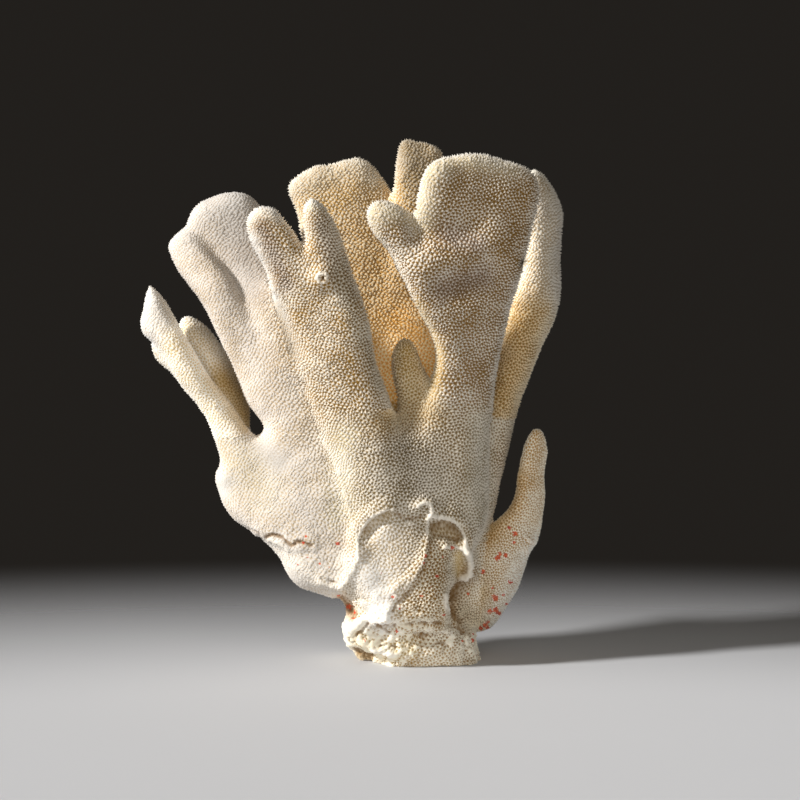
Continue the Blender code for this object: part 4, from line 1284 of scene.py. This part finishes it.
@dataclass(frozen=True)
class Limestone:
    """The coral's chalky limestone: pale grains over darker pores, white or brown crust, red spots.

    Clouds, specks and the ragged edge of spots are a noise's scale and how much it counts.
    """

    name: str
    white: tuple = (1.0, 0.945, 0.84, 1)
    brown: tuple = (0.24, 0.13, 0.04, 1)
    red: tuple = (0.86, 0.16, 0.04, 1)
    dark_red: tuple = (0.50, 0.03, 0.02, 1)
    black: tuple = (0, 0, 0, 1)
    clouds: Pair = (110.0, 0.5)
    specks: Pair = (1500.0, 0.3)
    ragged: Pair = (900.0, 2.0)
    wide_share: float = 0.3
    grain_edge: Pair = (0.04, 0.55)
    tip_edge: Pair = (0.8, 1.1)
    tip_share: float = 0.5
    brown_edge: Pair = (0.1, 0.9)
    brown_share: float = 0.8
    white_edge: Pair = (0.15, 0.8)
    white_share: float = 0.85
    red_edge: Pair = (0.35, 0.65)
    spot_edge: Pair = (0.65, 0.95)
    spot_share: float = 0.9
    bump_strength: float = 0.35
    bump_height: float = 0.0002
    roughness: float = 0.86
    sheen: float = 0.3
    # Strength of the painted glow: an emission that stands in for light shining through the skeleton.
    painted_glow: float = 0.18

    def make(self) -> Material:
        """Builds the material, which reads the traits of the mesh.

        Returns:
            The material.
        """
        g = Graph(self.name)
        glaze, cloud, speck = g.trait("glaze"), g.noise(self.clouds[0], 3.0), g.noise(self.specks[0])
        level = g.trait("pore") + (speck - 0.5) * self.specks[1] + (cloud - 0.5) * self.clouds[1]
        grain = (level - g.trait("wide") * self.wide_share).step(*self.grain_edge)
        colour = g.mix(grain, g.trait("hollow", "Color"), g.trait("grain", "Color"))
        colour = g.mix(level.step(*self.tip_edge) * self.tip_share, colour, self.white)
        # Brown where the glaze is negative: the crust's own brown, and in grooves partly painted shade.
        colour = g.mix((0 - glaze).step(*self.brown_edge) * self.brown_share, colour, self.brown)
        colour = g.mix(glaze.step(*self.white_edge) * self.white_share, colour, self.white)
        spot = g.trait("spot") + (g.noise(self.ragged[0]) - 0.5) * self.ragged[1]
        red = g.mix(speck.step(*self.red_edge), self.red, self.dark_red)
        colour = g.mix((1 - spot.step(*self.spot_edge)) * self.spot_share, colour, red)
        bump = {"Strength": self.bump_strength, "Distance": self.bump_height, "Height": speck}
        return g.finish({
            "Base Color": colour,
            "Normal": g.node("ShaderNodeBump", None, bump),
            "Roughness": self.roughness,
            "Specular IOR Level": self.sheen,
            # Painted glow: the colour is emitted where the glow trait is set, as painted light.
            "Emission Color": g.mix(g.trait("painted_glow"), self.black, colour),
            "Emission Strength": self.painted_glow,
        })


@dataclass(frozen=True)
class FloorPaint:
    """The grey of the floor, which fades out in a wide oval round the coral."""

    dark: tuple = (0.55, 0.565, 0.60, 1)
    light: tuple = (0.59, 0.605, 0.64, 1)
    squash: Triple = (0.6, 1.0, 1.0)
    shift: Triple = (0.0, 0.17, 0.0)
    fade: Pair = (0.12, 0.36)
    mottling: Pair = (3.0, 4.0)
    roughness: float = 0.8

    def make(self) -> Material:
        """Builds the material.

        Returns:
            The material.
        """
        g = Graph("floor_paint")
        settings = {"operation": "MULTIPLY_ADD"}
        oval = g.node("ShaderNodeVectorMath", settings, {0: g.place(), 1: self.squash, 2: self.shift})
        away = g.node("ShaderNodeVectorMath", {"operation": "LENGTH"}, {0: oval}, output="Value")
        return g.finish({
            "Base Color": g.mix(g.noise(*self.mottling), self.dark, self.light),
            "Alpha": 1 - away.step(*self.fade),
            "Roughness": self.roughness,
        })


@dataclass(frozen=True)
class Sun:
    """A distant light that stands towards a direction and looks some degrees wide."""

    name: str
    towards: Triple
    strength: float
    spread: float
    colour: Triple

    def shine(self) -> None:
        """Puts the light into the scene."""
        light = bpy.data.lights.new(self.name, "SUN")
        light.energy = self.strength
        light.angle = math.radians(self.spread)
        light.color = self.colour
        lamp = Workshop.place(bpy.data.objects.new(self.name, light))
        lamp.rotation_euler = Vector(self.towards).to_track_quat("Z", "Y").to_euler()


@dataclass
class Studio:
    """A round pale floor, a low key light from the left, soft fill, and the camera."""

    floor_radius: float = 0.6
    floor_corners: int = 96
    film_width: float = 36
    clip_start: float = 0.02
    air: tuple = (0.016, 0.014, 0.012, 1)
    suns: Sequence[Sun] = (
        Sun("key", (-1.0, -0.33, 0.62), 4.9, 6.0, (1.0, 0.97, 0.93)),
        Sun("front_fill", (0.1, -1.0, 0.22), 0.95, 80.0, (1.0, 0.94, 0.84)),
        Sun("top_fill", (0.2, 0.35, 1.0), 0.25, 100.0, (1.0, 0.95, 0.87)),
        Sun("back_fill", (0.6, 1.0, 0.4), 0.25, 80.0, (1.0, 0.95, 0.87)),
    )

    def build(self) -> None:
        """Sets up the floor, lights and camera."""
        size = {"vertices": self.floor_corners, "radius": self.floor_radius}
        bpy.ops.mesh.primitive_circle_add(fill_type="NGON", **size)
        floor = bpy.context.object
        floor.name = "floor"
        floor.data.materials.append(FloorPaint().make())
        for sun in self.suns:
            sun.shine()
        world = bpy.data.worlds.new("studio_air")
        world.use_nodes = True
        air = world.node_tree.nodes["Background"]
        air.inputs["Color"].default_value = self.air
        air.inputs["Strength"].default_value = 1.0
        bpy.context.scene.world = world
        bpy.context.scene.view_settings.view_transform = "Standard"
        camera = Workshop.place(bpy.data.objects.new("camera", bpy.data.cameras.new("camera")))
        camera.data.lens = Eye.lens
        camera.data.sensor_width = self.film_width
        camera.data.clip_start = self.clip_start
        camera.location = Vector(Eye.place * MM)
        camera.rotation_euler = Vector((Eye.aim - Eye.place) * MM).to_track_quat("-Z", "Y").to_euler()
        bpy.context.scene.camera = camera
        LOG.info("studio: %d lights", len(self.suns))


def main() -> None:
    """Builds the scene."""
    logging.basicConfig(level=logging.INFO, format="%(relativeCreated)6d ms %(message)s")
    Studio().build()
    skin = Skin(BLADES, RELIEF)
    skin.grow()
    pores = Pores(skin)
    pores.sow()
    coat = Coat(pores, REGIONS, PATCHES)
    coat.paint(frame["nodes"])
    finishes = {slot: Limestone(slot.value).make() for slot in Slot}
    Colony(pores, coat, SEAMS, SPOTS).build(finishes)


if __name__ == "__main__":
    main()
